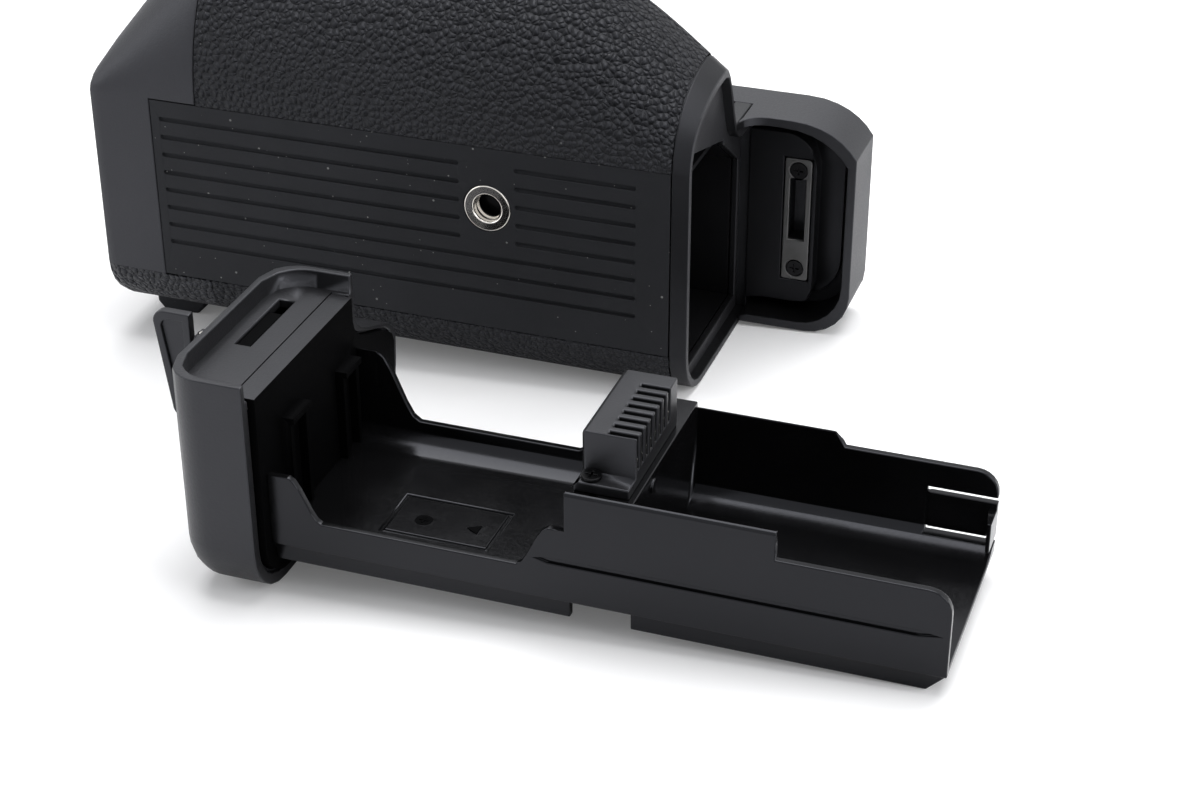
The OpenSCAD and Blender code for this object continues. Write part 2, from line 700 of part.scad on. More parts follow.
// The striker's wall, which fits inside the door's lip
module island() {
    e = lip_t + lip_gap;
    xs = [for (k = [0:12]) door_rim + (door_t - door_rim) * k / 12];
    along_y(0, face_y) translate([-e, 0])
        polygon(concat([[-cut, e + end_inset(door_rim)]], [for (x = xs) [x, e + end_inset(x)]],
            [for (k = [12:-1:0]) [xs[k], saddle_z - e - end_inset(xs[k])]],
            [[-cut, saddle_z - e - end_inset(door_rim)]]));
}
module wheel_pocket() {
    pin_y(-stud_x, stud_z, wheel_y - wheel_gap, wheel_y + wheel_t + wheel_gap, wheel_r + wheel_gap);
}
module striker_pocket() {
    span([striker_xs[0] - fit, striker_y - cut, striker_z0 - fit],
        [striker_xs[1] + fit, striker_y + striker_t, striker_z0 + striker_l + fit]);
    span([bar_x - bar_t / 2 - 0.4, striker_y, bar_z - bar_w / 2 - 0.4],
        [bar_x + bar_t / 2 + 0.4, striker_y + striker_room, bar_z + bar_w / 2 + 0.4]);
    for (z = striker_zs) pin_y(bar_x, z, striker_y, striker_y + striker_screw_l + 0.6, screw_r);
}
// Depth of the room for the lock bar's end, and length of the striker's screws
striker_room = 4.4;
striker_screw_l = 4.4;
screw_r = 0.8;
head_r = 1.5;
module striker_plate() {
    color([0.55, 0.55, 0.56]) lay() difference() {
        span([striker_xs[0], striker_y, striker_z0],
            [striker_xs[1], striker_y + striker_t, striker_z0 + striker_l]);
        span([bar_x - bar_t / 2 - 0.3, striker_y - cut, bar_z - bar_w / 2 - 0.3],
            [bar_x + bar_t / 2 + 0.3, striker_y + striker_t + cut, bar_z + bar_w / 2 + 0.3]);
        for (z = striker_zs) pin_y(bar_x, z, striker_y - cut, striker_y + 0.5, head_r + fit);
        for (z = striker_zs) pin_y(bar_x, z, striker_y - cut, face_y, screw_r + fit);
    }
}
// A screw along Y with its head at y and a cross recess
module screw_y(x, z, y, l) {
    difference() {
        union() {
            pin_y(x, z, y, y + 0.5, head_r);
            pin_y(x, z, y, y + l, screw_r);
        }
        span([x - 0.8, y - cut, z - 0.15], [x + 0.8, y + 0.3, z + 0.15]);
        span([x - 0.15, y - cut, z - 0.8], [x + 0.15, y + 0.3, z + 0.8]);
    }
}
module striker_screws() {
    color([0.6, 0.6, 0.6]) lay() for (z = striker_zs) screw_y(bar_x, z, striker_y, striker_screw_l);
}
// Black seal at the bottom of the groove that takes the door's lip
module door_seal() {
    color([0.05, 0.05, 0.05]) lay() difference() {
        nose(lip_gap + fit) along_y(striker_y + groove_h - seal_t, striker_y + groove_h - 0.02)
            polygon(plate_outline(skirt_t + fit));
        nose(0) along_y(0, face_y) polygon(plate_outline(skirt_t + groove_in - fit));
    }
}

module camera_pad() {
    color([0.15, 0.15, 0.16]) lay() difference() {
        along_y(face_y, face_y + camera_pad_t) polygon(plate_outline(4));
        pin_y(-stud_x, stud_z, face_y - cut, face_y + 2, stud_r + 1.5);
        for (x = pin_xs) pin_y(x, pin_z0, face_y - cut, face_y + 2, pin_r + 1);
        span([post_x - post_l / 2 - fit, face_y - cut, lug_z - post_w / 2 - fit],
            [post_x + post_l / 2 + fit, face_y + 2, lug_z + post_w / 2 + fit]);
        for (x = case_xs) for (z = case_zs) pin_y(x, z, face_y - cut, face_y + 2, head_r + 0.6);
    }
}
module contact_post() {
    color([0.12, 0.12, 0.12]) lay() difference() {
        span([post_x - post_l / 2, face_y, lug_z - post_w / 2],
            [post_x + post_l / 2, face_y + post_h, lug_z + post_w / 2]);
        for (i = [0:4]) post_row(i, 0.9, -0.6, 2, cut);
    }
}
module post_row(i, w, y0, l, y1) {
    x = post_x + (i - 2) * 2.2;
    span([x - w / 2, face_y + post_h + y0, lug_z - l], [x + w / 2, face_y + post_h + y1, lug_z + l]);
}
module post_contacts() {
    color([0.85, 0.7, 0.35]) lay() for (i = [0:4]) post_row(i, 0.8, -0.6, 1.9, -0.2);
}
module locating_pins() {
    color([0.7, 0.7, 0.7]) lay() for (x = pin_xs) union() {
        pin_y(x, pin_z0, face_y - pin_l, rest_y, pin_root - 0.02);
        pin_y(x, pin_z0, rest_y, face_y + pin_l, pin_r - 0.02);
    }
}

// Captive screw into the camera and the knurled wheel that turns it
module mounting_stud() {
    color([0.7, 0.69, 0.66]) lay() union() {
        pin_y(-stud_x, stud_z, wheel_y, rest_y, stud_neck);
        pin_y(-stud_x, stud_z, rest_y, face_y + stud_l - 0.8, stud_r);
        translate([-stud_x, face_y + stud_l - 0.8, stud_z]) rotate([-90, 0, 0])
            cylinder(h = 0.8, r1 = stud_r, r2 = stud_r - 0.8);
    }
}
module clamp_wheel() {
    color([0.2, 0.2, 0.21]) lay() difference() {
        along_y(wheel_y, wheel_y + wheel_t) translate([-stud_x, stud_z])
            polygon([for (i = [0:2 * wheel_n - 1]) let (a = 180 * i / wheel_n)
                (wheel_r - 0.6 * (i % 2)) * [cos(a), sin(a)]]);
        pin_y(-stud_x, stud_z, wheel_y - cut, face_y, stud_neck + 0.02);
    }
}

module shutter_button() {
    color([0.3, 0.3, 0.32]) lay() at_shutter() difference() {
        translate([0, 0, shutter_travel - 2.4])
            cylinder(h = boss_top + ring_h + 3.2 - shutter_travel, r = shutter_r);
        translate([0, 0, boss_top + ring_h + 12]) sphere(r = 11.6);
    }
}
module power_ring() {
    color([0.22, 0.22, 0.24]) lay() at_shutter() translate([0, 0, boss_top + 0.2]) difference() {
        union() {
            cylinder(h = ring_h - 0.2, r = collar_r + run + ring_w);
            rotate([0, 0, 200]) translate([0, -1.4, 0]) cube([collar_r + ring_w + 3, 2.8, ring_h - 0.2]);
        }
        translate([0, 0, -cut]) cylinder(h = ring_h + 2 * cut, r = collar_r + run);
    }
}
module front_dial() {
    color([0.2, 0.2, 0.21]) lay() difference() {
        along_y(dial_y - dial_w / 2, dial_y + dial_w / 2) translate([dial_x, dial_z])
            polygon([for (i = [0:4 * dial_n - 1]) let (a = 90 * i / dial_n)
                (dial_r - (i % 4 < 2 ? 0.6 : 0)) * [cos(a), sin(a)]]);
        pin_y(dial_x, dial_z, 0, seat_y, axle_r + run);
    }
}
// Bracket on the chamber liner, with two ears that carry the dial's axle
module dial_bracket() {
    y = dial_w / 2 + dial_gap;
    z0 = chamber_z1 + liner_t;
    color([0.2, 0.2, 0.21]) lay() difference() {
        span([dial_x - bracket_w / 2, dial_y - y - dial_ear_t, z0],
            [dial_x + bracket_w / 2, dial_y + y + dial_ear_t, dial_z + axle_r + 0.2]);
        span([dial_x - bracket_w, dial_y - y, dial_z - dial_r - dial_gap],
            [dial_x + bracket_w, dial_y + y, dial_z + dial_r]);
        pin_y(dial_x, dial_z, 0, seat_y, axle_r + 0.02);
    }
}
module dial_axle() {
    y = dial_w / 2 + dial_gap + dial_ear_t;
    color([0.7, 0.7, 0.7]) lay() pin_y(dial_x, dial_z, dial_y - y, dial_y + y, axle_r);
}
module rear_button(at, r) {
    difference() {
        pin_z(at.x, at.y, -button_proud, button_y1, r);
        translate([at.x, at.y, -button_proud - 3 * r + 0.5]) sphere(r = 3 * r);
    }
}
module focus_button() { color([0.28, 0.28, 0.3]) lay() rear_button(focus_at, focus_r); }
module function_button() { color([0.28, 0.28, 0.3]) lay() rear_button(function_at, function_r); }

// Rubber thumb rest under the shutter end, cut to the slope on which the grip leans
module thumb_rest() {
    x0 = end_r - body_l;
    x1 = x0 + rest_l;
    y0 = chamber_y0 + 7;
    color([0.17, 0.17, 0.18]) lay() along_y(y0, y0 + rest_w)
        polygon([[x0, 0], [x0, floor_at(x0) * 0.7], [x0 + 1.6, floor_at(x0 + 1.6)],
            [x1 - 1.6, floor_at(x1 - 1.6)], [x1, floor_at(x1) * 0.7], [x1, 0]]);
}
module strap_lug() {
    x = recess_d - body_l;
    y0 = crest_y - 6;
    color([0.7, 0.7, 0.7]) lay() difference() {
        span([x - recess_d + 0.2, y0, lug_z - 2.5], [x, y0 + 12, lug_z + 2.5]);
        span([x - recess_d - cut, y0 + 3, lug_z - 1.5], [x - 0.3, y0 + 9, lug_z + 1.5]);
    }
}
module case_bore(x, z) {
    pin_y(x, z, face_y - 0.8, face_y + cut, head_r + fit);
    pin_y(x, z, seat_y - cut, face_y, screw_r + fit);
}
module case_screws() {
    color([0.2, 0.2, 0.2]) lay() for (x = case_xs) for (z = case_zs) translate([x, 2 * face_y, z])
        rotate([0, 0, 180]) translate([-x, 0, -z]) screw_y(x, z, face_y + 0.2, plate_t - 0.4);
}

// Lengths of the high parts of the walls past the bulkhead
front_high_l = 21.5;
back_high_l = 21.7;
back_slope = 1.5;
// Outline of the tray's front wall, from the floor's underside up
front_profile = concat([[-tray_l, floor_bottom]], [[0, floor_bottom]],
    arc([-wall_r, end_wall - wall_r], wall_r, 0, 90),
    [[bulk_x1 + front_high_l, end_wall]], [[bulk_x1 + front_high_l, high_wall]],
    [[bulk_x0 - 0.5, high_wall]],
    [[bulk_x0 - 0.5, door_wall]],
    s_curve([bulk_x0 - 3, door_wall], [bulk_x0 - 8, low_wall]),
    s_curve([8.5 - tray_l, low_wall], [3.5 - tray_l, door_wall]), [[-tray_l, door_wall]]);
back_profile = concat([[-tray_l, floor_bottom]], [[0, floor_bottom]],
    arc([-wall_r, end_wall - wall_r], wall_r, 0, 90),
    [[bulk_x1 + back_high_l + back_slope, end_wall]], [[bulk_x1 + back_high_l, back_wall]],
    s_curve([bulk_x0 - 2, back_wall], [bulk_x0 - 10, low_wall]),
    s_curve([10.5 - tray_l, low_wall], [3.5 - tray_l, back_wall]), [[-tray_l, back_wall]]);
module tray_cradle() {
    color([0.26, 0.26, 0.28]) lay_tray() difference() {
        union() {
            along_y(0, wall_front) polygon(front_profile);
            along_y(back_in, tray_w) polygon(back_profile);
            span([-tray_l, 0, floor_bottom], [0, tray_w, floor_top]);
            span([bulk_x0, 0, floor_bottom], [bulk_x1, tray_w, bulkhead_top]);
            along_x(-tray_l, 0) polygon(concat([[back_in + 0.1, floor_top - 0.1]],
                bezier([back_in + 0.1, floor_top + fillet_h], [back_in - 0.4, floor_top + 1],
                    [back_in - fillet_w / 2, floor_top], [back_in - fillet_w, floor_top - 0.1])));
            for (y = [runner_step, tray_w - runner_step - runner_t]) runner(y);
            pin_x(tray_w / 2 - 6, bulkhead_top - 2.2, bulk_x1 - cut, bulk_x1 + 0.4, 1.2);
        }
        along_y(-cut, groove_d) polygon([[-4.5, groove_z - groove_w / 2], [-1.5, groove_z],
            [-4.5, groove_z + groove_w / 2], [bulk_x0 - 3, groove_z + groove_w / 2],
            [bulk_x0 - 5, groove_z], [bulk_x0 - 3, groove_z - groove_w / 2]]);
        span([-catch_l - catch_gap, back_in - cut, catch_z - catch_slot],
            [cut, tray_w + cut, catch_z + catch_h + catch_slot]);
        span([-hook_t - 1, back_in - hook_reach, catch_z - catch_gap], [cut, back_in, catch_z + catch_h]);
        along_x(-tray_l - cut, cut) polygon([[tray_w + cut, back_wall - 1.6], [tray_w, back_wall - 1.6],
            [tray_w - 1, back_wall], [tray_w - 1, back_wall + cut], [tray_w + cut, back_wall + cut]]);
        mark_frame();
        pin_z(screw_at.x, screw_at.y, floor_top, bulkhead_top + cut, screw_r);
    }
}
// A pair of runners in two lengths, with the gap between them under the bulkhead
module runner(y) {
    along_y(y, y + runner_t)
        polygon([[-tray_l, floor_bottom + 0.1], [-tray_l, 0], [bulk_x0, 0], [bulk_x0, floor_bottom + 0.1]]);
    along_y(y, y + runner_t) polygon([[bulk_x1, floor_bottom + 0.1], [bulk_x1, 0], [-runner_chamfer, 0],
        [-0.5, runner_chamfer - 0.5], [-0.5, floor_bottom + 0.1]]);
}
// Shallow sunk frame in the floor of the door bay
mark_w = 0.5;
mark_d = 0.3;
module mark_frame() {
    x0 = 14.5 - tray_l;
    difference() {
        span([x0, 7.5, floor_top - mark_d], [x0 + 17.6, 18.3, floor_top + cut]);
        span([x0 + mark_w, 7.5 + mark_w, 0], [x0 + 17.6 - mark_w, 18.3 - mark_w, floor_top + 2 * cut]);
    }
}

screw_at = [bulk_x0 + 2.2, block_y - flange_w / 2];
slot_y0 = block_y + contact_slot;
// Length of the block's slots, height of their foot above the bulkhead, and height of the tips
slot_l = 4.4;
slot_foot = 2.6;
tip_h = 1.8;
module contact_block() {
    x1 = bulk_x1 - 0.9;
    color([0.22, 0.22, 0.23]) lay_tray() difference() {
        union() {
            span([bulk_x0, block_y, bulkhead_top], [x1, block_y + block_w, block_top]);
            span([bulk_x0, block_y - flange_w, bulkhead_top], [x1, block_y + 0.5, bulkhead_top + flange_t]);
        }
        for (i = [0:contact_n - 1]) {
            y = slot_y0 + i * contact_pitch;
            span([x1 - slot_l, y - contact_slot / 2, bulkhead_top + slot_foot],
                [x1 + cut, y + contact_slot / 2, block_top + cut]);
        }
        pin_z(screw_at.x, screw_at.y, bulkhead_top - cut, block_top, screw_r + fit);
    }
}
module contact_tips() {
    x1 = bulk_x1 - 0.9;
    color([0.8, 0.75, 0.6]) lay_tray() for (i = [0:contact_n - 1]) {
        y = slot_y0 + i * contact_pitch;
        span([x1 - slot_l, y - contact_t / 2, bulkhead_top + slot_foot],
            [x1 - 0.2, y + contact_t / 2, bulkhead_top + slot_foot + tip_h]);
    }
}
module block_screw() {
    z = bulkhead_top + flange_t;
    color([0.1, 0.1, 0.1]) lay_tray() difference() {
        union() {
            pin_z(screw_at.x, screw_at.y, z, z + 0.6, head_r);
            pin_z(screw_at.x, screw_at.y, z - flange_t - 4, z, screw_r - 0.02);
        }
        span([screw_at.x - 0.9, screw_at.y - 0.15, z + 0.2], [screw_at.x + 0.9, screw_at.y + 0.15, z + cut]);
        span([screw_at.x - 0.15, screw_at.y - 0.9, z + 0.2], [screw_at.x + 0.15, screw_at.y + 0.9, z + cut]);
    }
}
// Springy tongue at the free end of the back wall, with a hook that holds the battery
module battery_catch() {
    z1 = catch_z + catch_h;
    color([0.26, 0.26, 0.28]) lay_tray() union() {
        span([-catch_l, back_in, catch_z], [0, tray_w, z1]);
        along_y_hook() polygon([[0, 0], [0, -hook_reach], [-hook_t / 2, -hook_reach],
            [-hook_t, 0.1 - hook_t], [-hook_t, 0]]);
    }
}
module along_y_hook() { translate([0, back_in + 0.01, catch_z]) linear_extrude(catch_h - 1) children(); }

// The door is drawn where it lies when the tray is home, in the grip's own axes
bar_slot_x = bar_t / 2 + 0.2;
cavity_x1 = door_t - door_wall_t;
deck_t = 1.6;
module door_shell() {
    color([0.25, 0.25, 0.27]) lay_door() difference() {
        through(concat(rows(cavity_x1, door_rim, door_wall_t, deck_y - deck_t, 6),
            rows(door_rim, door_t, 0, deck_y + lip_h, 12)));
        lip_room();
        span([0, deck_y - deck_t - cut, door_wall_t + fit],
            [door_rim + 3, deck_y + cut, saddle_z - door_wall_t - fit]);
        span([bar_x - bar_slot_x, deck_y - 3, bar_z - bar_w / 2 - 0.2],
            [bar_x + bar_slot_x, deck_y + cut, bar_z + bar_w / 2 + 4]);
        pin_x(knob_y, knob_z, 0, door_t + cut, shaft_r + run);
    }
}
// Room above the door's flat top, which leaves a thin wall round its outer edge
module lip_room() {
    rows = [for (k = [0:12]) door_rim + (door_t - door_rim) * k / 12];
    along_y(deck_y, deck_y + lip_h + cut) translate([-lip_t, 0])
        polygon(concat([for (x = rows) [x, end_inset(x) + lip_t]],
            [for (k = [12:-1:0]) [rows[k], saddle_z - lip_t - end_inset(rows[k])]]));
}
module door_gasket() {
    color([0.05, 0.05, 0.05]) lay_door() difference() {
        along_x(door_rim + 0.6, door_rim + rim_depth)
            polygon(section(door_rim, door_wall_t + fit, deck_y - 0.1));
        along_x(0, door_rim + 5) polygon(section(door_rim, door_wall_t + gasket_t, deck_y + cut));
    }
}
// Depth to which the gasket and the inner plate's edge reach behind the door's rim
rim_depth = 2.8;
inner_in = 5;
module door_inner_plate() {
    color([0.27, 0.27, 0.29]) lay_door() difference() {
        union() {
            along_x(0, door_rim + rim_depth)
                polygon(section(door_rim, door_wall_t + gasket_t + 2 * fit, deck_y));
            span([1, inner_in, inner_in], [inner_t, deck_y - deck_t - 0.2, saddle_z - inner_in]);
            door_ledge(block_y, ledge_w, 22);
            door_ledge(block_y + block_w - 0.5, ledge_w - 0.5, back_wall);
        }
        for (z = door_screw_zs) pin_x(door_screw_y, z, -cut, 0.6, head_r + fit);
        for (z = door_screw_zs) pin_x(door_screw_y, z, -cut, inner_t + cut, screw_r + fit);
    }
}
// A ledge over two ribs on the inner face, given in the tray's own places
ledge_w = 6.2;
module door_ledge(y0, w, top) {
    z0 = door_over + y0;
    z1 = z0 + w;
    span([-ledge_t, door_drop + top - 1, z0], [0.1, door_drop + top, z1]);
    for (z = [z0, z1 - 1])
        span([-ledge_t + 0.6, door_drop + floor_top, z], [0.1, door_drop + top - 0.5, z + 1]);
}
door_screw_y = door_drop + 0.6;
door_screw_zs = [door_over + tray_w / 2 - 9, door_over + tray_w / 2 + 9];
module door_screws() {
    color([0.2, 0.2, 0.2]) lay_door() for (z = door_screw_zs) difference() {
        union() {
            pin_x(door_screw_y, z, 0, 0.6, head_r);
            pin_x(door_screw_y, z, 0, cavity_x1, screw_r);
        }
        span([-cut, door_screw_y - 0.15, z - 0.8], [0.3, door_screw_y + 0.15, z + 0.8]);
        span([-cut, door_screw_y - 0.8, z - 0.15], [0.3, door_screw_y + 0.8, z + 0.15]);
    }
}

// Lock bar with the cross slot that takes the crank pin
crank_y = knob_y - crank_r * sin(45);
crank_z = knob_z + crank_r * cos(45);
slot_gap = 0.2;
module lock_bar() {
    y1 = deck_y - bar_sink;
    color([0.6, 0.6, 0.6]) lay_door() difference() {
        span([bar_x - bar_t / 2, y1 - bar_h, bar_z - bar_w / 2], [bar_x + bar_t / 2, y1, bar_z + bar_w / 2]);
        span([bar_x - bar_t, crank_y - crank_pin_r - slot_gap, crank_z - crank_pin_r - 0.5],
            [bar_x + bar_t, crank_y + crank_pin_r + slot_gap, knob_z + crank_r + crank_pin_r + 0.5]);
    }
}

// Turn knob with the two ears of the flap's hinge
knob_gap = 0.25;
knob_x = door_t + knob_gap;
ear_x = knob_x + knob_t + 1.3;
ear_h = 1.4;
ear_t = 1.6;
ear_nose = 1;
ear_corner = sqrt(ear_nose * ear_nose + ear_h * ear_h);
barrel_h = 9.8;
module turn_knob() {
    color([0.24, 0.24, 0.26]) lay_door() difference() {
        union() {
            pin_x(knob_y, knob_z, knob_x, knob_x + knob_t, knob_r);
            for (s = [-1, 1]) knob_ear(s);
        }
        pin_x(knob_y, knob_z, 0, knob_x + knob_t - 0.6, shaft_r + 0.02);
        pin_y(ear_x, knob_z, 0, 2 * face_y, flap_pin_r + 0.02);
    }
}
module knob_ear(s) {
    y = knob_y + s * (barrel_h / 2 + 0.2 + ear_t / 2);
    span([knob_x + knob_t - 0.1, y - ear_t / 2, knob_z - ear_h],
        [ear_x + ear_nose, y + ear_t / 2, knob_z + ear_h]);
}
module knob_shaft() {
    x0 = bar_x + bar_t / 2 + 0.2;
    color([0.6, 0.6, 0.6]) lay_door() union() {
        pin_x(knob_y, knob_z, x0, knob_x + knob_t - 0.6, shaft_r);
        pin_x(knob_y, knob_z, x0, cavity_x1 - 0.2, crank_r + crank_pin_r + 0.6);
        pin_x(crank_y, crank_z, bar_x - bar_t / 2 + 0.2, x0 + 0.1, crank_pin_r);
    }
}
module flap_pin() {
    y = barrel_h / 2 + 0.2 + ear_t;
    color([0.7, 0.7, 0.7]) lay_door() pin_y(ear_x, knob_z, knob_y - y, knob_y + y, flap_pin_r);
}
// Folded-out handle: a hinge barrel and a plate with a raised rim and rounded outer corners
flap_x0 = ear_x + ear_corner + 2 * fit;
module handle_flap() {
    color([0.24, 0.24, 0.26]) lay_door() difference() {
        union() {
            pin_y(ear_x, knob_z, knob_y - barrel_h / 2, knob_y + barrel_h / 2, flap_pin_r + 0.55);
            span([ear_x + 0.6, knob_y - barrel_h / 2, knob_z - flap_t / 2],
                [flap_x0 + 0.1, knob_y + barrel_h / 2, knob_z + flap_t / 2]);
            flap_plate(0, flap_t);
        }
        pin_y(ear_x, knob_z, 0, 2 * face_y, flap_pin_r + run);
        for (s = [-1, 1]) translate([0, 0, s * flap_t * 0.7]) flap_plate(1.4, flap_t);
    }
}
module flap_plate(e, t) {
    y0 = knob_y - flap_w / 2 + 0.4 + e;
    y1 = knob_y + flap_w / 2 + 0.4 - e;
    x1 = flap_x0 + flap_l - e;
    r = 2 - e / 2;
    translate([0, 0, knob_z - t / 2]) linear_extrude(t)
        polygon(concat([[flap_x0 + e, y1]], arc([x1 - r, y1 - r], r, 90, 0),
            arc([x1 - r - 2, y0 + r], r, 0, -90), [[flap_x0 + e, y0]]));
}

front_shell();
base_plate();
rear_shell();
end_cap();
front_leather();
rear_leather();
base_pad();
tripod_socket();
mouth_frame();
chamber_liner();
contact_board();
contact_blades();
camera_plate();
striker_plate();
striker_screws();
door_seal();
camera_pad();
contact_post();
post_contacts();
locating_pins();
mounting_stud();
clamp_wheel();
shutter_button();
power_ring();
front_dial();
dial_axle();
dial_bracket();
focus_button();
function_button();
thumb_rest();
strap_lug();
case_screws();
tray_cradle();
contact_block();
contact_tips();
block_screw();
battery_catch();
door_shell();
door_inner_plate();
door_gasket();
door_screws();
lock_bar();
turn_knob();
knob_shaft();
flap_pin();
handle_flap();
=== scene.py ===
import json
import math

import bmesh
import bpy
from mathutils import Matrix, Vector


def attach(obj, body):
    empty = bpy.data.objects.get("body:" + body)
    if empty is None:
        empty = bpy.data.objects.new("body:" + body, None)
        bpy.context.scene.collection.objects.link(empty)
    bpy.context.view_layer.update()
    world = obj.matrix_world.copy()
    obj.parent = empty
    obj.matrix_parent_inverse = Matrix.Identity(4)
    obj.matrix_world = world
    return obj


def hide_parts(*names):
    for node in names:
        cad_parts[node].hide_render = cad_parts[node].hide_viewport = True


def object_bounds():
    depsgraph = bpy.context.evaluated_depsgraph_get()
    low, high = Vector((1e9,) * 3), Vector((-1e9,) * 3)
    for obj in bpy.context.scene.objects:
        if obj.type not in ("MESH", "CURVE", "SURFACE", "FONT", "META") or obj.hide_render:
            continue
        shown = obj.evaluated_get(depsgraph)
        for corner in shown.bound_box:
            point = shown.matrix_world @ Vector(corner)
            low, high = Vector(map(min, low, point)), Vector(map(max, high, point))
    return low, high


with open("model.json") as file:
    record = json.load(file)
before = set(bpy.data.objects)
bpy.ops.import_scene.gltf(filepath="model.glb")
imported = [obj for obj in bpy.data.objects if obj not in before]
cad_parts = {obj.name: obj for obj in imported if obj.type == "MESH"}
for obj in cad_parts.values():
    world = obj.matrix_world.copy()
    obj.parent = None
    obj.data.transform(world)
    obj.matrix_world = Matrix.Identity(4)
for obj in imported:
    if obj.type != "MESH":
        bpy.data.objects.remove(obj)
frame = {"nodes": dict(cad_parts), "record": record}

cad_low, cad_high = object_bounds()


# The stage: a pale sheet on which the grip and its tray lie, under a wide soft box overhead and
# two weaker ones at the sides. The sheet carries the part's soft shadow and is white to the camera.
def deselect():
    """Go to object mode with nothing selected, as each new piece expects."""
    if bpy.context.object and bpy.context.object.mode != "OBJECT":
        bpy.ops.object.mode_set(mode="OBJECT")
    bpy.ops.object.select_all(action="DESELECT")


class Flow:
    """A value on its way through a material's nodes."""

    def __init__(self, tree, socket=None):
        self.tree, self.socket = tree, socket

    def add(self, kind, settings=None, out=0, **sockets):
        node = self.tree.nodes.new("ShaderNode" + kind)
        for key, value in (settings or {}).items():
            setattr(node, key, value)
        for key, value in sockets.items():
            index = key[1:]
            into = node.inputs[int(index) if index.isdigit() else key.replace("_", " ")]
            if isinstance(value, Flow):
                self.tree.links.new(value.socket, into)
            else:
                into.default_value = value
        return Flow(self.tree, node.outputs[out])

    def other(self, out):
        """Another output of the node that gave this value."""
        return Flow(self.tree, self.socket.node.outputs[out])

    def math(self, operation, a, b=0.0):
        return self.add("Math", {"operation": operation}, i0=a, i1=b)

    def __add__(self, other): return self.math("ADD", self, other)
    def __radd__(self, other): return self.math("ADD", other, self)
    def __sub__(self, other): return self.math("SUBTRACT", self, other)
    def __rsub__(self, other): return self.math("SUBTRACT", other, self)
    def __mul__(self, other): return self.math("MULTIPLY", self, other)
    def __rmul__(self, other): return self.math("MULTIPLY", other, self)
    def __gt__(self, other): return self.math("GREATER_THAN", self, other)
    def __lt__(self, other): return self.math("LESS_THAN", self, other)

    def blend(self, a, b):
        """From colour a to colour b as this value goes from 0 to 1."""
        return self.add("Mix", {"data_type": "RGBA"}, out=2, i0=self, i6=a, i7=b)

    def ease(self, low, high):
        """0 below low, 1 above high, and smooth between."""
        return self.add("MapRange", {"interpolation_type": "SMOOTHSTEP"},
                        Value=self, From_Min=low, From_Max=high)


def feed(shader, **sockets):
    """Set a shader's sockets to fixed values, or link flows to them."""
    for key, value in sockets.items():
        into = shader.inputs[key.replace("_", " ")]
        if isinstance(value, Flow):
            value.tree.links.new(value.socket, into)
        else:
            into.default_value = value


def new_finish(name):
    """A fresh material with its Principled shader, and the flow from which its patterns start."""
    material = bpy.data.materials.new(name)
    material.use_nodes = True
    shader = material.node_tree.nodes["Principled BSDF"]
    return material, shader, Flow(material.node_tree)


deselect()
bpy.ops.mesh.primitive_plane_add(size=6, location=(0, 0, cad_low[2] - 0.00005))
sheet = bpy.context.object
sheet.name = "paper_sheet"
paper, paper_shader, flow = new_finish("paper")
feed(paper_shader, Base_Color=(0.94, 0.94, 0.95, 1), Roughness=0.9, Specular_IOR_Level=0.1,
     Emission_Color=(1, 1, 1, 1), Emission_Strength=flow.add("LightPath") * 0.1)
sheet.data.materials.append(paper)

world = bpy.data.worlds.new("studio")
bpy.context.scene.world = world
world.use_nodes = True
sky = world.node_tree.nodes["Background"]
ray = Flow(world.node_tree).add("LightPath", out="Is Camera Ray")
mirrored = ray.math("MAXIMUM", ray, ray.other("Is Glossy Ray"))
shown = ray.math("MAXIMUM", mirrored, ray.other("Is Transmission Ray"))
fill, extra_shown = 0.32, 0.68
feed(sky, Color=(0.97, 0.98, 1.0, 1), Strength=fill + shown * extra_shown)


def soft_box(name, place, aim, size, watts):
    """A square area light, in metres, turned towards the spot that it is aimed at."""
    light = bpy.data.lights.new(name, "AREA")
    light.shape, light.size, light.energy = "SQUARE", size, watts
    lamp = bpy.data.objects.new(name, light)
    bpy.context.scene.collection.objects.link(lamp)
    lamp.location = place
    lamp.rotation_euler = (Vector(aim) - Vector(place)).to_track_quat("-Z", "Y").to_euler()


soft_box("overhead_box", place=(0.05, 0.25, 0.85), aim=(0, -0.02, 0), size=0.9, watts=11.5)
soft_box("right_box", place=(0.9, -0.15, 0.45), aim=(0, 0, 0), size=0.6, watts=5)
soft_box("left_box", place=(-0.9, -0.35, 0.5), aim=(0, 0, 0), size=0.6, watts=2.5)

bpy.context.scene.view_settings.view_transform = "Standard"

# The camera of the photograph: a short telephoto, 30 degrees above the tray and 19 degrees round
# from its front wall. The grip and the tray both lean by the same small pitch on their feet.
mm = 0.001
lean_angle = math.radians(3.38967)
azimuth, elevation = math.radians(19.3), math.radians(30)
eye_mm = (148.6, -337.8, 164.6)
lean = Matrix.Rotation(lean_angle, 4, "Y")
eye = bpy.data.cameras.new("photo_eye")
eye.lens, eye.sensor_width, eye.sensor_fit = 71.25, 36, "HORIZONTAL"
eye.clip_start = 0.01
camera = bpy.data.objects.new("photo_camera", eye)
bpy.context.scene.collection.objects.link(camera)
turn = Matrix.Rotation(azimuth, 4, "Z") @ Matrix.Rotation(math.pi / 2 - elevation, 4, "X")
camera.matrix_world = Matrix.Translation(Vector(eye_mm) * mm) @ lean @ turn
bpy.context.scene.camera = camera

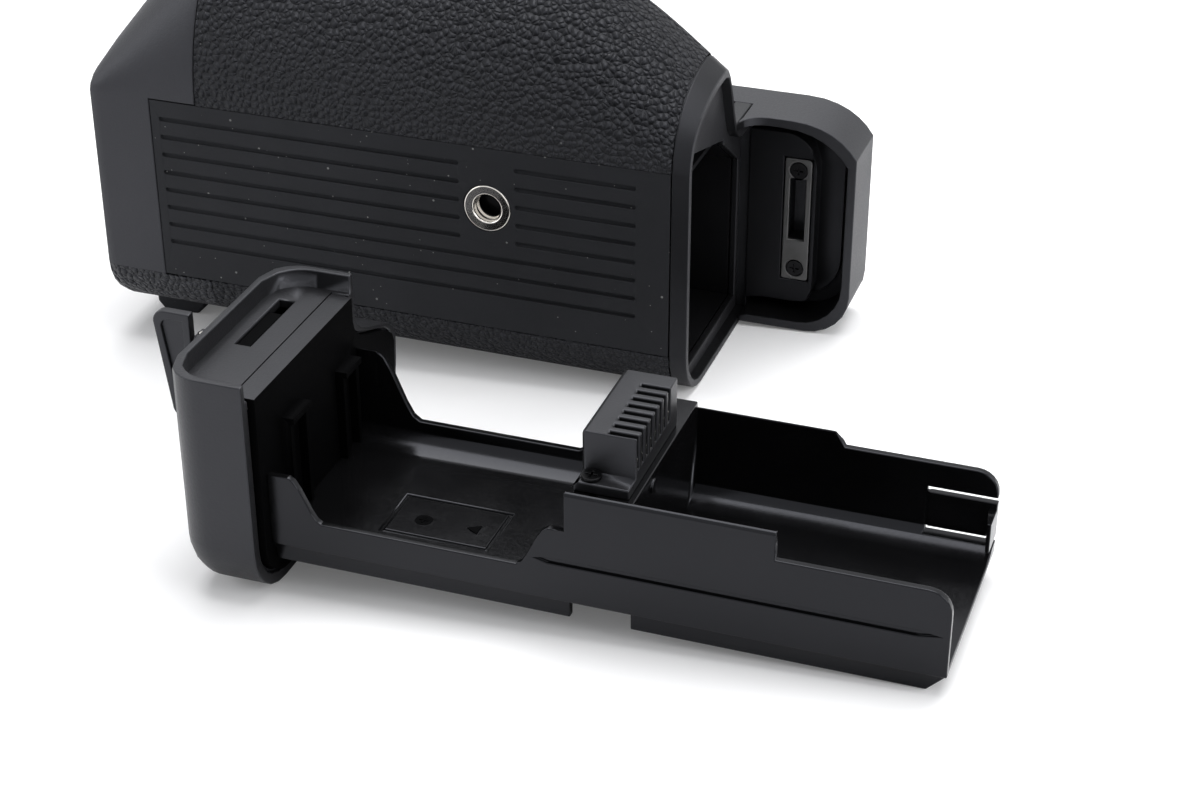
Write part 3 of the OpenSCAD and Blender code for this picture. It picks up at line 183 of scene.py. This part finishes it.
# The shells of the grip: moulded black glass-filled plastic with a fine sparked texture. They are
# screwed together along the camera side and stay almost hidden under the wraps and the pad.
body_of = {n: b for b, nodes in frame["record"]["behaviour"]["bodies"].items() for n in nodes}
cool, dust_tone = (0.88, 0.9, 1.0, 1), (0.2, 0.2, 0.2, 1)
speck_size = 0.13


def dust(flow, place, scale, share):
    """Sparse pale specks: 1 on a speck and 0 elsewhere."""
    cells = flow.add("TexVoronoi", Vector=place, Scale=scale, Randomness=1.0)
    pick = flow.add("SeparateColor", i0=cells.other("Color")) > 1 - share
    return (cells < speck_size) * pick


def plastic(name, grey, rough, grain, grain_scale=2600.0, specks=0.012, tint=(1.0, 1.0, 1.08),
            gloss=0.5):
    """Moulded plastic with a sparked texture, faint cloudy tone and a few specks of dust."""
    material, shader, flow = new_finish(name)
    place = flow.add("TexCoord", out=3)
    fine = flow.add("TexNoise", Vector=place, Scale=grain_scale, Detail=2.0, Roughness=0.6)
    broad = flow.add("TexNoise", Vector=place, Scale=70.0, Detail=3.0)
    low, high = ([grey * k * t for t in tint] + [1] for k in (0.8, 1.2))
    clouded = broad.ease(0.3, 0.7).blend(low, high)
    speck = dust(flow, place, 420.0, specks)
    feed(shader, Base_Color=(speck * 0.4).blend(clouded, dust_tone),
         Roughness=rough + (broad - 0.5) * 0.14 + (fine - 0.5) * 0.16,
         Specular_IOR_Level=gloss, Specular_Tint=cool,
         Normal=flow.add("Bump", Strength=grain, Distance=0.00006, Height=fine))
    return material


def dress(node, material):
    """A carried-over CAD piece gets its finish."""
    piece = frame["nodes"][node]
    piece.data.materials.clear()
    piece.data.materials.append(material)


def stand_for(piece, node, material):
    """A new piece takes the place and the body of a CAD piece, gets its material, and the CAD piece
    is hidden.
    """
    piece.data.materials.clear()
    piece.data.materials.append(material)
    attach(piece, body_of[node])
    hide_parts(node)


shell_plastic = plastic("shell_plastic", grey=0.012, rough=0.48, grain=0.5, gloss=0.42)
for node in ("front_shell", "base_plate", "rear_shell", "dial_bracket"):
    dress(node, shell_plastic)


# The hand wraps: thin black rubber with a pebbled leather grain, glued on the shells. The front one
# runs from the pad over the bulge to the camera side, the rear one round the lower edge.
def round_edges(piece, width, segments, sharp, soft, share=None):
    """Round the outward edges that turn by more than a given angle, and keep the flats flat.

    The share of the full width that an edge gets may depend on its middle and its direction.
    """
    shape = bmesh.new()
    shape.from_mesh(piece.data)
    weight = shape.edges.layers.float.new("bevel_weight_edge")
    for edge in shape.edges:
        if edge.is_manifold and edge.is_convex and edge.calc_face_angle(0) > math.radians(sharp):
            start, end = (vertex.co / mm for vertex in edge.verts)
            edge[weight] = share((start + end) / 2, (end - start).normalized()) if share else 1.0
    shape.to_mesh(piece.data)
    shape.free()
    bpy.context.view_layer.objects.active = piece
    piece.select_set(True)
    round_off = piece.modifiers.new("round_off", "BEVEL")
    round_off.width, round_off.segments, round_off.limit_method = width * mm, segments, "WEIGHT"
    round_off.use_clamp_overlap = round_off.loop_slide = False
    round_off.miter_outer = "MITER_ARC"
    bpy.ops.object.modifier_apply(modifier="round_off")
    bpy.ops.object.shade_smooth_by_angle(angle=math.radians(soft))
    even = piece.modifiers.new("even", "WEIGHTED_NORMAL")
    even.keep_sharp = True
    bpy.ops.object.modifier_apply(modifier="even")


def eased(node, material, width, segments=2, sharp=30, soft=36, flats=True, share=None):
    """A merged copy of a CAD piece with its edges rounded, which stands for that piece.

    A piece with holes or grooves keeps its smaller faces, because wide flats break round them.
    """
    deselect()
    piece = bpy.data.objects.new(node + "_eased", frame["nodes"][node].data.copy())
    bpy.context.scene.collection.objects.link(piece)
    bpy.context.view_layer.objects.active = piece
    piece.select_set(True)
    bpy.ops.object.mode_set(mode="EDIT")
    bpy.ops.mesh.select_all(action="SELECT")
    bpy.ops.mesh.remove_doubles(threshold=2e-6)
    flat = math.radians(0.3)
    if flats:
        bpy.ops.mesh.dissolve_limited(angle_limit=flat)
    else:
        bpy.ops.mesh.tris_convert_to_quads(face_threshold=flat, shape_threshold=math.pi)
    bpy.ops.object.mode_set(mode="OBJECT")
    round_edges(piece, width, segments, sharp, soft, share)
    stand_for(piece, node, material)
    return piece


def repaint(piece, material, chosen):
    """Give another material to the faces that a test of their middle and direction picks; here it
    paints lit and shaded faces.
    """
    piece.data.materials.append(material)
    for face in piece.data.polygons:
        if chosen(face.center / mm, face.normal):
            face.material_index = 1


pebble_mm, grain_depth = 1.1, 0.0009
# The creases' tone is painted shade; the tops' tone is the rubber's own black.
crease_shade_tone, top_tone = (0.0016, 0.0017, 0.002, 1), (0.0046, 0.0049, 0.006, 1)


def pebbles(flow, place):
    """The leather grain: 0 in its creases and 1 on its tops, and its height."""
    drift = flow.add("TexNoise", out=1, Vector=place, Scale=500.0, Detail=1.0)
    sway = (0.8 * mm,) * 3
    bent = flow.add("VectorMath", {"operation": "MULTIPLY_ADD"}, i0=drift, i1=sway, i2=place)
    cells = {"Vector": bent, "Scale": 1 / (pebble_mm * mm), "Randomness": 0.9}
    middle = flow.add("TexVoronoi", {"feature": "SMOOTH_F1"}, Smoothness=0.25, **cells)
    edge = flow.add("TexVoronoi", {"feature": "DISTANCE_TO_EDGE"}, **cells)
    skin = flow.add("TexNoise", Vector=place, Scale=4200.0, Detail=2.0)
    crease = edge.ease(0.0, 0.2)
    return crease, 1 - middle * middle * 1.6 + crease * 0.3 + skin * 0.05


def pebbled_rubber():
    """The wraps' finish: black rubber with the leather grain, its creases painted darker as shade.
    """
    material, shader, flow = new_finish("pebbled_rubber")
    place = flow.add("TexCoord", out=3)
    top, height = pebbles(flow, place)
    speck = dust(flow, place, 700.0, 0.02)
    # Painted shade: the grain's creases are darker than its tops.
    tone = top.blend(crease_shade_tone, top_tone)
    feed(shader, Base_Color=(speck * 0.5).blend(tone, dust_tone), Roughness=0.6 - top * 0.12,
         Specular_IOR_Level=0.3, Specular_Tint=cool,
         Normal=flow.add("Bump", Strength=1.0, Distance=grain_depth, Height=height))
    return material


def bezier(p0, p1, p2, p3, count):
    """Points along a cubic curve in the plane of y and z, with both of its ends."""
    points = []
    for k in range(count + 1):
        t, u = k / count, 1 - k / count
        pulls = tuple(zip((u**3, 3 * u * u * t, 3 * u * t * t, t**3), (p0, p1, p2, p3)))
        points.append(tuple(sum(w * p[i] for w, p in pulls) for i in (0, 1)))
    return points


chamber_front, body_l, seat_y, saddle_y, crest_y, corner_r = 38.6, 113.0, 36.7, 31.0, 19.0, 9.5
saddle_z, pad_top, split_z = chamber_front + 0.4, 43.0, 9.0
crest_low, crest_rise, rise_l = 15.4, 17.0, 32
crest_drop, drop_l, drop_power = 25.0, 24, 1.4
skin_x0, skin_x1, leather_t = -90.0, -3.2, 0.64
up_steps, down_steps, corner_steps, rear_steps, long_steps = 22, 18, 14, 12, 56
socket_x, socket_z = 35.8, 31.9
lay = lean @ Matrix.Translation(Vector((socket_x, 0, -socket_z)))
grip_middle = lay @ Vector((-45, 18, 20))


def crest(x):
    """The bulge's height at x, which grows from the mouth and drops towards the shutter end."""
    rise = math.sin(math.pi / 2 * min(1, max(0, -x / rise_l)))
    drop = min(1, max(0, (drop_l - body_l - x) / drop_l))
    return chamber_front + crest_low + crest_rise * rise - crest_drop * drop**drop_power


def bulge_outline(x):
    """The front wrap's outline at x: from the pad over the crest into the finger saddle."""
    c = crest(x)
    up = bezier((0, pad_top), (0, pad_top + (c - pad_top) * 0.6),
                (crest_y - 10, c), (crest_y, c), up_steps)
    down = bezier((crest_y + 1, c), (crest_y + 6, c),
                  (saddle_y - 6, saddle_z), (saddle_y, saddle_z), down_steps)
    return up + down + [(seat_y, saddle_z)]


def edge_outline(x):
    """The rear wrap's outline: round the lower edge and along the rear, the same at every x."""
    turns = [math.pi / 2 * k / corner_steps for k in range(1, corner_steps + 1)]
    corner = [(corner_r - corner_r * math.cos(a), corner_r - corner_r * math.sin(a)) for a in turns]
    shares = [k / rear_steps for k in range(1, rear_steps + 1)]
    return [(0, split_z)] + corner + [(corner_r + (seat_y - corner_r) * k, 0) for k in shares]


def cut_away(piece, *cutters):
    """Take the cutters' room out of a piece, and put the cutters away."""
    for cutter in cutters:
        deselect()
        bpy.context.view_layer.objects.active = piece
        piece.select_set(True)
        bite = piece.modifiers.new("bite", "BOOLEAN")
        bite.operation, bite.solver, bite.object = "DIFFERENCE", "EXACT", cutter
        bpy.ops.object.modifier_apply(modifier="bite")
        bpy.data.objects.remove(cutter)


def wrap(name, node, outline, material, *cutters):
    """A glued wrap: a grid laid over the outlines along the grip, thickened inwards and cut."""
    stations = [skin_x0 + (skin_x1 - skin_x0) * k / long_steps for k in range(long_steps + 1)]
    spots = [(x, y, z) for x in stations for y, z in outline(x)]
    across = len(spots) // len(stations)
    deselect()
    bpy.ops.mesh.primitive_grid_add(x_subdivisions=across - 1, y_subdivisions=long_steps, size=1)
    piece = bpy.context.object
    piece.name = name
    for vertex, spot in zip(piece.data.vertices, spots):
        vertex.co = (lay @ Vector(spot)) * mm
    middle = piece.data.polygons[len(piece.data.polygons) // 2]
    if middle.normal.dot(middle.center - grip_middle * mm) < 0:
        piece.data.flip_normals()
    body = piece.modifiers.new("body", "SOLIDIFY")
    body.thickness, body.offset = leather_t * mm, -1
    bpy.ops.object.modifier_apply(modifier="body")
    cut_away(piece, *cutters)
    round_edges(piece, width=0.2, segments=2, sharp=50, soft=45)
    stand_for(piece, node, material)


def placed(x, y, z, turn=Matrix()):
    """From a piece's own axes to its place in the grip's axes, in millimetres."""
    return Matrix.Translation((lay @ Vector((x, y, z))) * mm) @ lean @ turn


def slab(place, *size):
    """A box with the given sides, in millimetres, at its place."""
    deselect()
    bpy.ops.mesh.primitive_cube_add(size=1)
    bpy.context.object.data.transform(place @ Matrix.Diagonal([side * mm for side in size] + [1]))
    return bpy.context.object


def round_cutter(place, radius, length):
    """A round bar that a hole is cut with, in millimetres, at its place."""
    deselect()
    bpy.ops.mesh.primitive_cylinder_add(vertices=48, radius=radius * mm, depth=length * mm)
    cutter = bpy.context.object
    cutter.data.transform(place)
    return cutter


leather = pebbled_rubber()
shutter_turn = Matrix.Rotation(math.radians(-25), 4, "Y")
dial_room = slab(placed(-75, 16, 70), 16, 5.6, 20)
boss_room = round_cutter(placed(-94, crest_y, 68.219, shutter_turn), radius=8.97, length=20)
wrap("front_wrap", "front_leather", bulge_outline, leather, dial_room, boss_room)
focus_room = round_cutter(placed(-83, 26.5, 0), radius=4.1, length=6)
function_room = round_cutter(placed(-72, 26.5, 0), radius=3.3, length=6)
wrap("rear_wrap", "rear_leather", edge_outline, leather, focus_room, function_room)

# The shutter end: one smooth moulding of the shells' plastic, let in under the front wrap, with the
# boss of the shutter button on its shoulder. The leather grain runs on round its lower edge, which
# is told by the height in the grip's own leaning axes, and its creases there are painted darker as
# shade.
end_plastic, shader, flow = new_finish("end_plastic")
place = flow.add("TexCoord", out=3)
up_mm = (math.sin(lean_angle) / mm, 0, math.cos(lean_angle) / mm)
rise = flow.add("VectorMath", {"operation": "DOT_PRODUCT"}, out=1, i0=place, i1=up_mm) + socket_z
smooth = rise.ease(split_z - 0.05, split_z + 0.05)
fine = flow.add("TexNoise", Vector=place, Scale=2600.0, Detail=2.0, Roughness=0.6)
broad = flow.add("TexNoise", Vector=place, Scale=70.0, Detail=3.0)
top, height = pebbles(flow, place)
clouded = broad.ease(0.3, 0.7).blend((0.0105, 0.0105, 0.0118, 1), (0.014, 0.014, 0.0158, 1))
relief = height * (1 - smooth) + fine * smooth * 0.05
# Below the split the grain's creases are painted darker as shade.
feed(shader, Base_Color=smooth.blend(top.blend(crease_shade_tone, top_tone), clouded),
     Roughness=0.5 + (broad - 0.5) * 0.1 + (fine - 0.5) * 0.15,
     Specular_IOR_Level=0.46, Specular_Tint=cool,
     Normal=flow.add("Bump", Strength=1.0, Distance=grain_depth, Height=relief))
eased("end_cap", end_plastic, 0.3)


# The base pad: a sheet of matt black rubber let into the base, with long moulded grooves that stop
# short of the tripod socket. It picks up pale dust, as in the photograph.
def rubber(name, grey, specks, rough=0.72):
    """Matt rubber with a cloudy tone, a powdery film and specks of two sizes."""
    material, shader, flow = new_finish(name)
    place = flow.add("TexCoord", out=3)
    fine = flow.add("TexNoise", Vector=place, Scale=2400.0, Detail=4.0, Roughness=0.7)
    broad = flow.add("TexNoise", Vector=place, Scale=90.0, Detail=4.0)
    film = flow.add("TexNoise", Vector=place, Scale=700.0, Detail=5.0, Roughness=0.75)
    coarse, small = dust(flow, place, 620.0, specks), dust(flow, place, 1300.0, specks * 0.8)
    speck = flow.math("MAXIMUM", coarse, small)
    low, high = ([grey * k for k in tone] + [1] for tone in ((0.8, 0.84, 0.9), (1.15, 1.2, 1.3)))
    clouded = broad.ease(0.3, 0.72).blend(low, high)
    powdered = (film.ease(0.6, 0.8) * 0.2).blend(clouded, (0.06, 0.06, 0.062, 1))
    feed(shader, Base_Color=(speck * 0.6).blend(powdered, (0.3, 0.3, 0.29, 1)),
         Roughness=rough + (fine - 0.5) * 0.16, Specular_IOR_Level=0.34, Specular_Tint=cool,
         Normal=flow.add("Bump", Strength=0.4, Distance=0.00005, Height=fine))
    return material


pad_rubber = rubber("pad_rubber", grey=0.0075, specks=0.06)
eased("base_pad", pad_rubber, 0.12, flats=False)
eased("camera_pad", pad_rubber, 0.15, flats=False)
eased("thumb_rest", pad_rubber, 0.5, 3)


# The tripod socket: a turned brass insert with bright nickel plating, with a 1/4 inch thread of
# 20 turns to the inch inside it, pressed into the base behind the pad.
def plated(name, colour, rough, streaks=0.0):
    """Metal with duller patches, and with fine streaks where it is drawn or brushed."""
    material, shader, flow = new_finish(name)
    place = flow.add("TexCoord", out=3)
    fine = flow.add("TexNoise", Vector=place, Scale=1800.0, Detail=3.0)
    drawn = flow.add("VectorMath", {"operation": "MULTIPLY"}, i0=place, i1=(3000.0, 3000.0, 120.0))
    rub = flow.add("TexNoise", Vector=drawn, Scale=1.0, Detail=2.0)
    dull = flow.add("TexNoise", Vector=place, Scale=240.0, Detail=4.0).ease(0.45, 0.75)
    worn = tuple(c * 0.85 for c in colour)
    feed(shader, Base_Color=dull.blend(colour + (1,), worn + (1,)), Metallic=1.0,
         Roughness=rough + dull * 0.1 + (rub - 0.5) * streaks,
         Normal=flow.add("Bump", Strength=0.12, Distance=0.00004, Height=fine))
    return material


nickel = plated("bright_nickel", (0.78, 0.75, 0.7), rough=0.16)
eased("tripod_socket", nickel, 0.3, 3)
thread_pitch = 25.4 / 20


def thread(name, place, radius, tooth_mm, turns, body):
    """A screw thread: one tooth swept round the axis, by one pitch for each turn."""
    deselect()
    bpy.ops.mesh.primitive_circle_add(vertices=3, radius=tooth_mm * mm,
                                      location=(radius * mm, 0, 0), rotation=(math.pi / 2, 0, 0))
    tooth = bpy.context.object
    tooth.name = name
    bpy.ops.object.transform_apply(location=True, rotation=True, scale=True)
    sweep = tooth.modifiers.new("sweep", "SCREW")
    sweep.angle, sweep.screw_offset, sweep.iterations = 2 * math.pi, thread_pitch * mm, turns
    sweep.steps = sweep.render_steps = 36
    bpy.ops.object.modifier_apply(modifier="sweep")
    tooth.data.transform(place)
    bpy.ops.object.mode_set(mode="EDIT")
    bpy.ops.mesh.select_all(action="SELECT")
    bpy.ops.mesh.remove_doubles(threshold=1e-6)
    bpy.ops.mesh.edge_face_add()
    bpy.ops.mesh.normals_make_consistent(inside=False)
    bpy.ops.object.mode_set(mode="OBJECT")
    bpy.ops.object.shade_smooth_by_angle(angle=math.radians(30))
    tooth.data.materials.append(nickel)
    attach(tooth, body)


inward = Matrix.Rotation(-math.pi / 2, 4, "X")
thread("socket_thread", placed(-socket_x, 0.5, socket_z, inward),
       radius=2.62, tooth_mm=0.34, turns=2, body="grip")

# The end strip with its thin rim round the mouth of the battery chamber, in a darker plastic as
# painted shade, with the faces that turn to the right-hand lamp painted lighter as lit faces; and
# the liner behind it, painted dark as shade, with the green contact board and its gold blades.
frame_shaded_plastic = plastic("frame_shaded_plastic", grey=0.0055, rough=0.42, grain=0.3, gloss=0.27)
# Painted light and shade: faces turned to the right-hand lamp take the lighter shell plastic, the
# rest stays darker.
repaint(eased("mouth_frame", frame_shaded_plastic, 0.25), shell_plastic, lambda spot, out: out.x > 0.7)
# A darker copy of the plastic, painted as the shade inside the battery chamber and in the
# protrusion's hollow.
inner_plastic = plastic("inner_plastic", grey=0.0042, rough=0.4, grain=0.08, specks=0.0, gloss=0.22)
dress("chamber_liner", inner_plastic)
gold = plated("contact_gold", (0.72, 0.55, 0.26), rough=0.26)
for node in ("contact_blades", "post_contacts"):
    dress(node, gold)
board_green = plastic("board_green", grey=0.02, rough=0.3, grain=0.05, tint=(0.4, 2.2, 0.9))
dress("contact_board", board_green)

# The camera-side plate with the protrusion past the mouth: a stiff moulding that carries the
# striker of the door's lock, the seal for the door's lip, and the screw and pins for the camera.
nose_middle = lay @ Vector((10, 36, 21))
nose_x, hollow_y, ledge_y, groove_y = 33, 35, 39.0, 41.0
along = 0.9


def nose_shade_faces(spot, out):
    """The inner walls and the bottom of the protrusion's hollow, but for the ledge in it, which are
    painted darker as shade.
    """
    wall = abs(out.y) < 0.5 and out.dot(spot - nose_middle) < 0
    bottom = out.y < -0.5 and spot.y > hollow_y and not ledge_y < spot.y < groove_y
    return spot.x > nose_x and (wall or bottom)


def striker_round(spot, way):
    """The striker's corners have a full round, and its other edges are only eased."""
    return 1.0 if abs(way.y) > along else 0.2


# The hollow's inner walls and bottom are painted darker as shade.
repaint(eased("camera_plate", shell_plastic, 0.2, flats=False), inner_plastic, nose_shade_faces)
seal_rubber = rubber("seal_rubber", grey=0.002, specks=0.0)
dress("door_seal", seal_rubber)
dull_steel = plated("dull_steel", (0.11, 0.11, 0.11), rough=0.42, streaks=0.12)
black_steel = plated("blackened_steel", (0.018, 0.018, 0.019), rough=0.34)
eased("striker_plate", dull_steel, 1.1, 4, share=striker_round)
eased("striker_screws", black_steel, 0.08)
block_plastic = plastic("block_plastic", grey=0.0065, rough=0.4, grain=0.3, gloss=0.4)
eased("contact_post", block_plastic, 0.2)
eased("locating_pins", nickel, 0.3)
eased("mounting_stud", nickel, 0.15)
thread("stud_thread", placed(-52, 44.9, 18.5, inward),
       radius=3.06, tooth_mm=0.28, turns=2, body="clamp")
control_plastic = plastic("control_plastic", grey=0.010, rough=0.42, grain=0.3, gloss=0.4)
eased("clamp_wheel", control_plastic, 0.12)
eased("case_screws", black_steel, 0.08)
eased("strap_lug", dull_steel, 0.2)

# The controls: shutter button, the power ring round it, the front dial on its axle and the two rear
# buttons, all moulded in black plastic but for the axle.
for node in ("shutter_button", "power_ring", "front_dial", "focus_button", "function_button"):
    eased(node, control_plastic, 0.2)
dress("dial_axle", nickel)

# The battery tray: one long moulding in smooth black plastic with a floor, two walls cut down for
# the fingers, a bulkhead between its two bays and runners beneath. Its catch is the same plastic.
tray_plastic = plastic("tray_plastic", grey=0.003, rough=0.18, grain=0.06, grain_scale=1900.0,
                       specks=0.004, gloss=0.27)
high_z, front_y = -12, -67


def wall_round(spot, way):
    """The high front wall has a full round on its top, and the other edges are only eased."""
    high = spot.z > high_z and spot.y < front_y and abs(way.x) > along
    return 1.0 if high else 0.35


eased("tray_cradle", tray_plastic, 0.6, 3, flats=False, share=wall_round)
eased("battery_catch", tray_plastic, 0.12)
tray_x, tray_y, tray_z = 60.3, -71, 3.39388


def in_tray(x, y, z, turn=Matrix()):
    """From a piece's own axes to its place in the tray's axes, in millimetres."""
    return placed(x + tray_x, y + tray_y, z + tray_z, turn)


def on_tray(name, material, width, *pieces):
    """Join the pieces of one moulding, ease its edges and let it ride with the tray."""
    deselect()
    for piece in pieces:
        piece.select_set(True)
    bpy.context.view_layer.objects.active = pieces[0]
    if len(pieces) > 1:
        bpy.ops.object.join()
    pieces[0].name = name
    round_edges(pieces[0], width, segments=2, sharp=30, soft=36)
    pieces[0].data.materials.clear()
    pieces[0].data.materials.append(material)
    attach(pieces[0], "tray")


# The marks in the floor's sunk frame: a plus sign in a round rim, and an arrow for the way in which
# a battery goes. They are matt black, darker than the floor.
# The same matt black also serves as painted shade on the door's inner plate and its lock bar.
matt_black_and_shade = plastic("matt_black_and_shade", grey=0.0012, rough=0.6, grain=0.1, specks=0.0, gloss=0.02)
bay_floor, mark_h, bar_l, bar_w = 4.3, 0.3, 1.5, 0.36
plus_place = in_tray(-83.7, 12.2, bay_floor)
arrow_place = in_tray(-75.3, 12.3, bay_floor, Matrix.Rotation(math.pi / 2, 4, "Z"))
deselect()
bpy.ops.mesh.primitive_cylinder_add(vertices=40, radius=1.4 * mm, depth=mark_h * mm)
rim = bpy.context.object
for face in rim.data.polygons:
    face.select = face.normal.z > along
bpy.ops.object.mode_set(mode="EDIT")
bpy.ops.mesh.select_mode(type="FACE")
bpy.ops.mesh.inset(thickness=0.25 * mm)
bpy.ops.transform.translate(value=(0, 0, -0.12 * mm))
bpy.ops.object.mode_set(mode="OBJECT")
rim.data.transform(plus_place)
deselect()
bpy.ops.mesh.primitive_cylinder_add(vertices=3, radius=1.35 * mm, depth=mark_h * mm)
arrow = bpy.context.object
arrow.data.transform(arrow_place)
on_tray("bay_marks", matt_black_and_shade, 0.04, rim, arrow,
        slab(plus_place, bar_l, bar_w, mark_h), slab(plus_place, bar_w, bar_l, mark_h))

# The thin web at the catch's root, where the tongue is moulded on to the back wall. It stays with
# the tray, and the catch bends beside it.
on_tray("catch_web", tray_plastic, 0.08, slab(in_tray(-10.45, 33.4, 9.4), 0.5, 0.9, 5.9))

# The contact block on the bulkhead: a ribbed moulding held by one black cross-headed screw, with
# plated contact tips between its ribs.
plain_x, foot_z = 41, -9


def block_round(spot, way):
    """The block's plain side has a full round, and the edges of its ribs are only eased."""
    plain = spot.x < plain_x and spot.z > foot_z and max(abs(way.y), abs(way.z)) > along
    return 1.0 if plain else 0.32


eased("contact_block", block_plastic, 0.8, 3, flats=False, share=block_round)
eased("contact_tips", nickel, 0.05)
eased("block_screw", black_steel, 0.06)

# The door at the tray's end: an outer shell with a lip, a thin rubber gasket, and the inner plate
# with the ledges that stop the battery, painted near black as shade but for its flat top. The lock
# bar in the slot of that top is painted near black as shade.
door_plastic = plastic("door_plastic", grey=0.0085, rough=0.4, grain=0.5, gloss=0.42)
joint_x, joint_reach, deck_z, plate_top_z = -11, 1, -3, -5


def door_round(spot, way):
    """The deck stays flush where the inner plate carries it on."""
    joint = abs(spot.x - joint_x) < joint_reach and spot.z > deck_z and abs(way.y) > along
    return 0.1 if joint else 1.0


eased("door_shell", door_plastic, 0.25, 3, share=door_round)
# The inner plate's faces below its top are painted near black as shade.
repaint(eased("door_inner_plate", matt_black_and_shade, 0.06, flats=False), door_plastic,
        lambda spot, out: out.z > along and spot.z > plate_top_z)
dress("door_gasket", seal_rubber)
dress("door_screws", black_steel)
# The lock bar is painted near black as shade in its slot.
eased("lock_bar", matt_black_and_shade, 0.15)

# The turn knob on the door's outer face, with its fold-out handle flap on a steel pin. The knob's
# shaft goes through the door to the lock bar.
eased("turn_knob", door_plastic, 0.25)
dress("knob_shaft", nickel)
dress("flap_pin", nickel)
eased("handle_flap", door_plastic, 0.25)
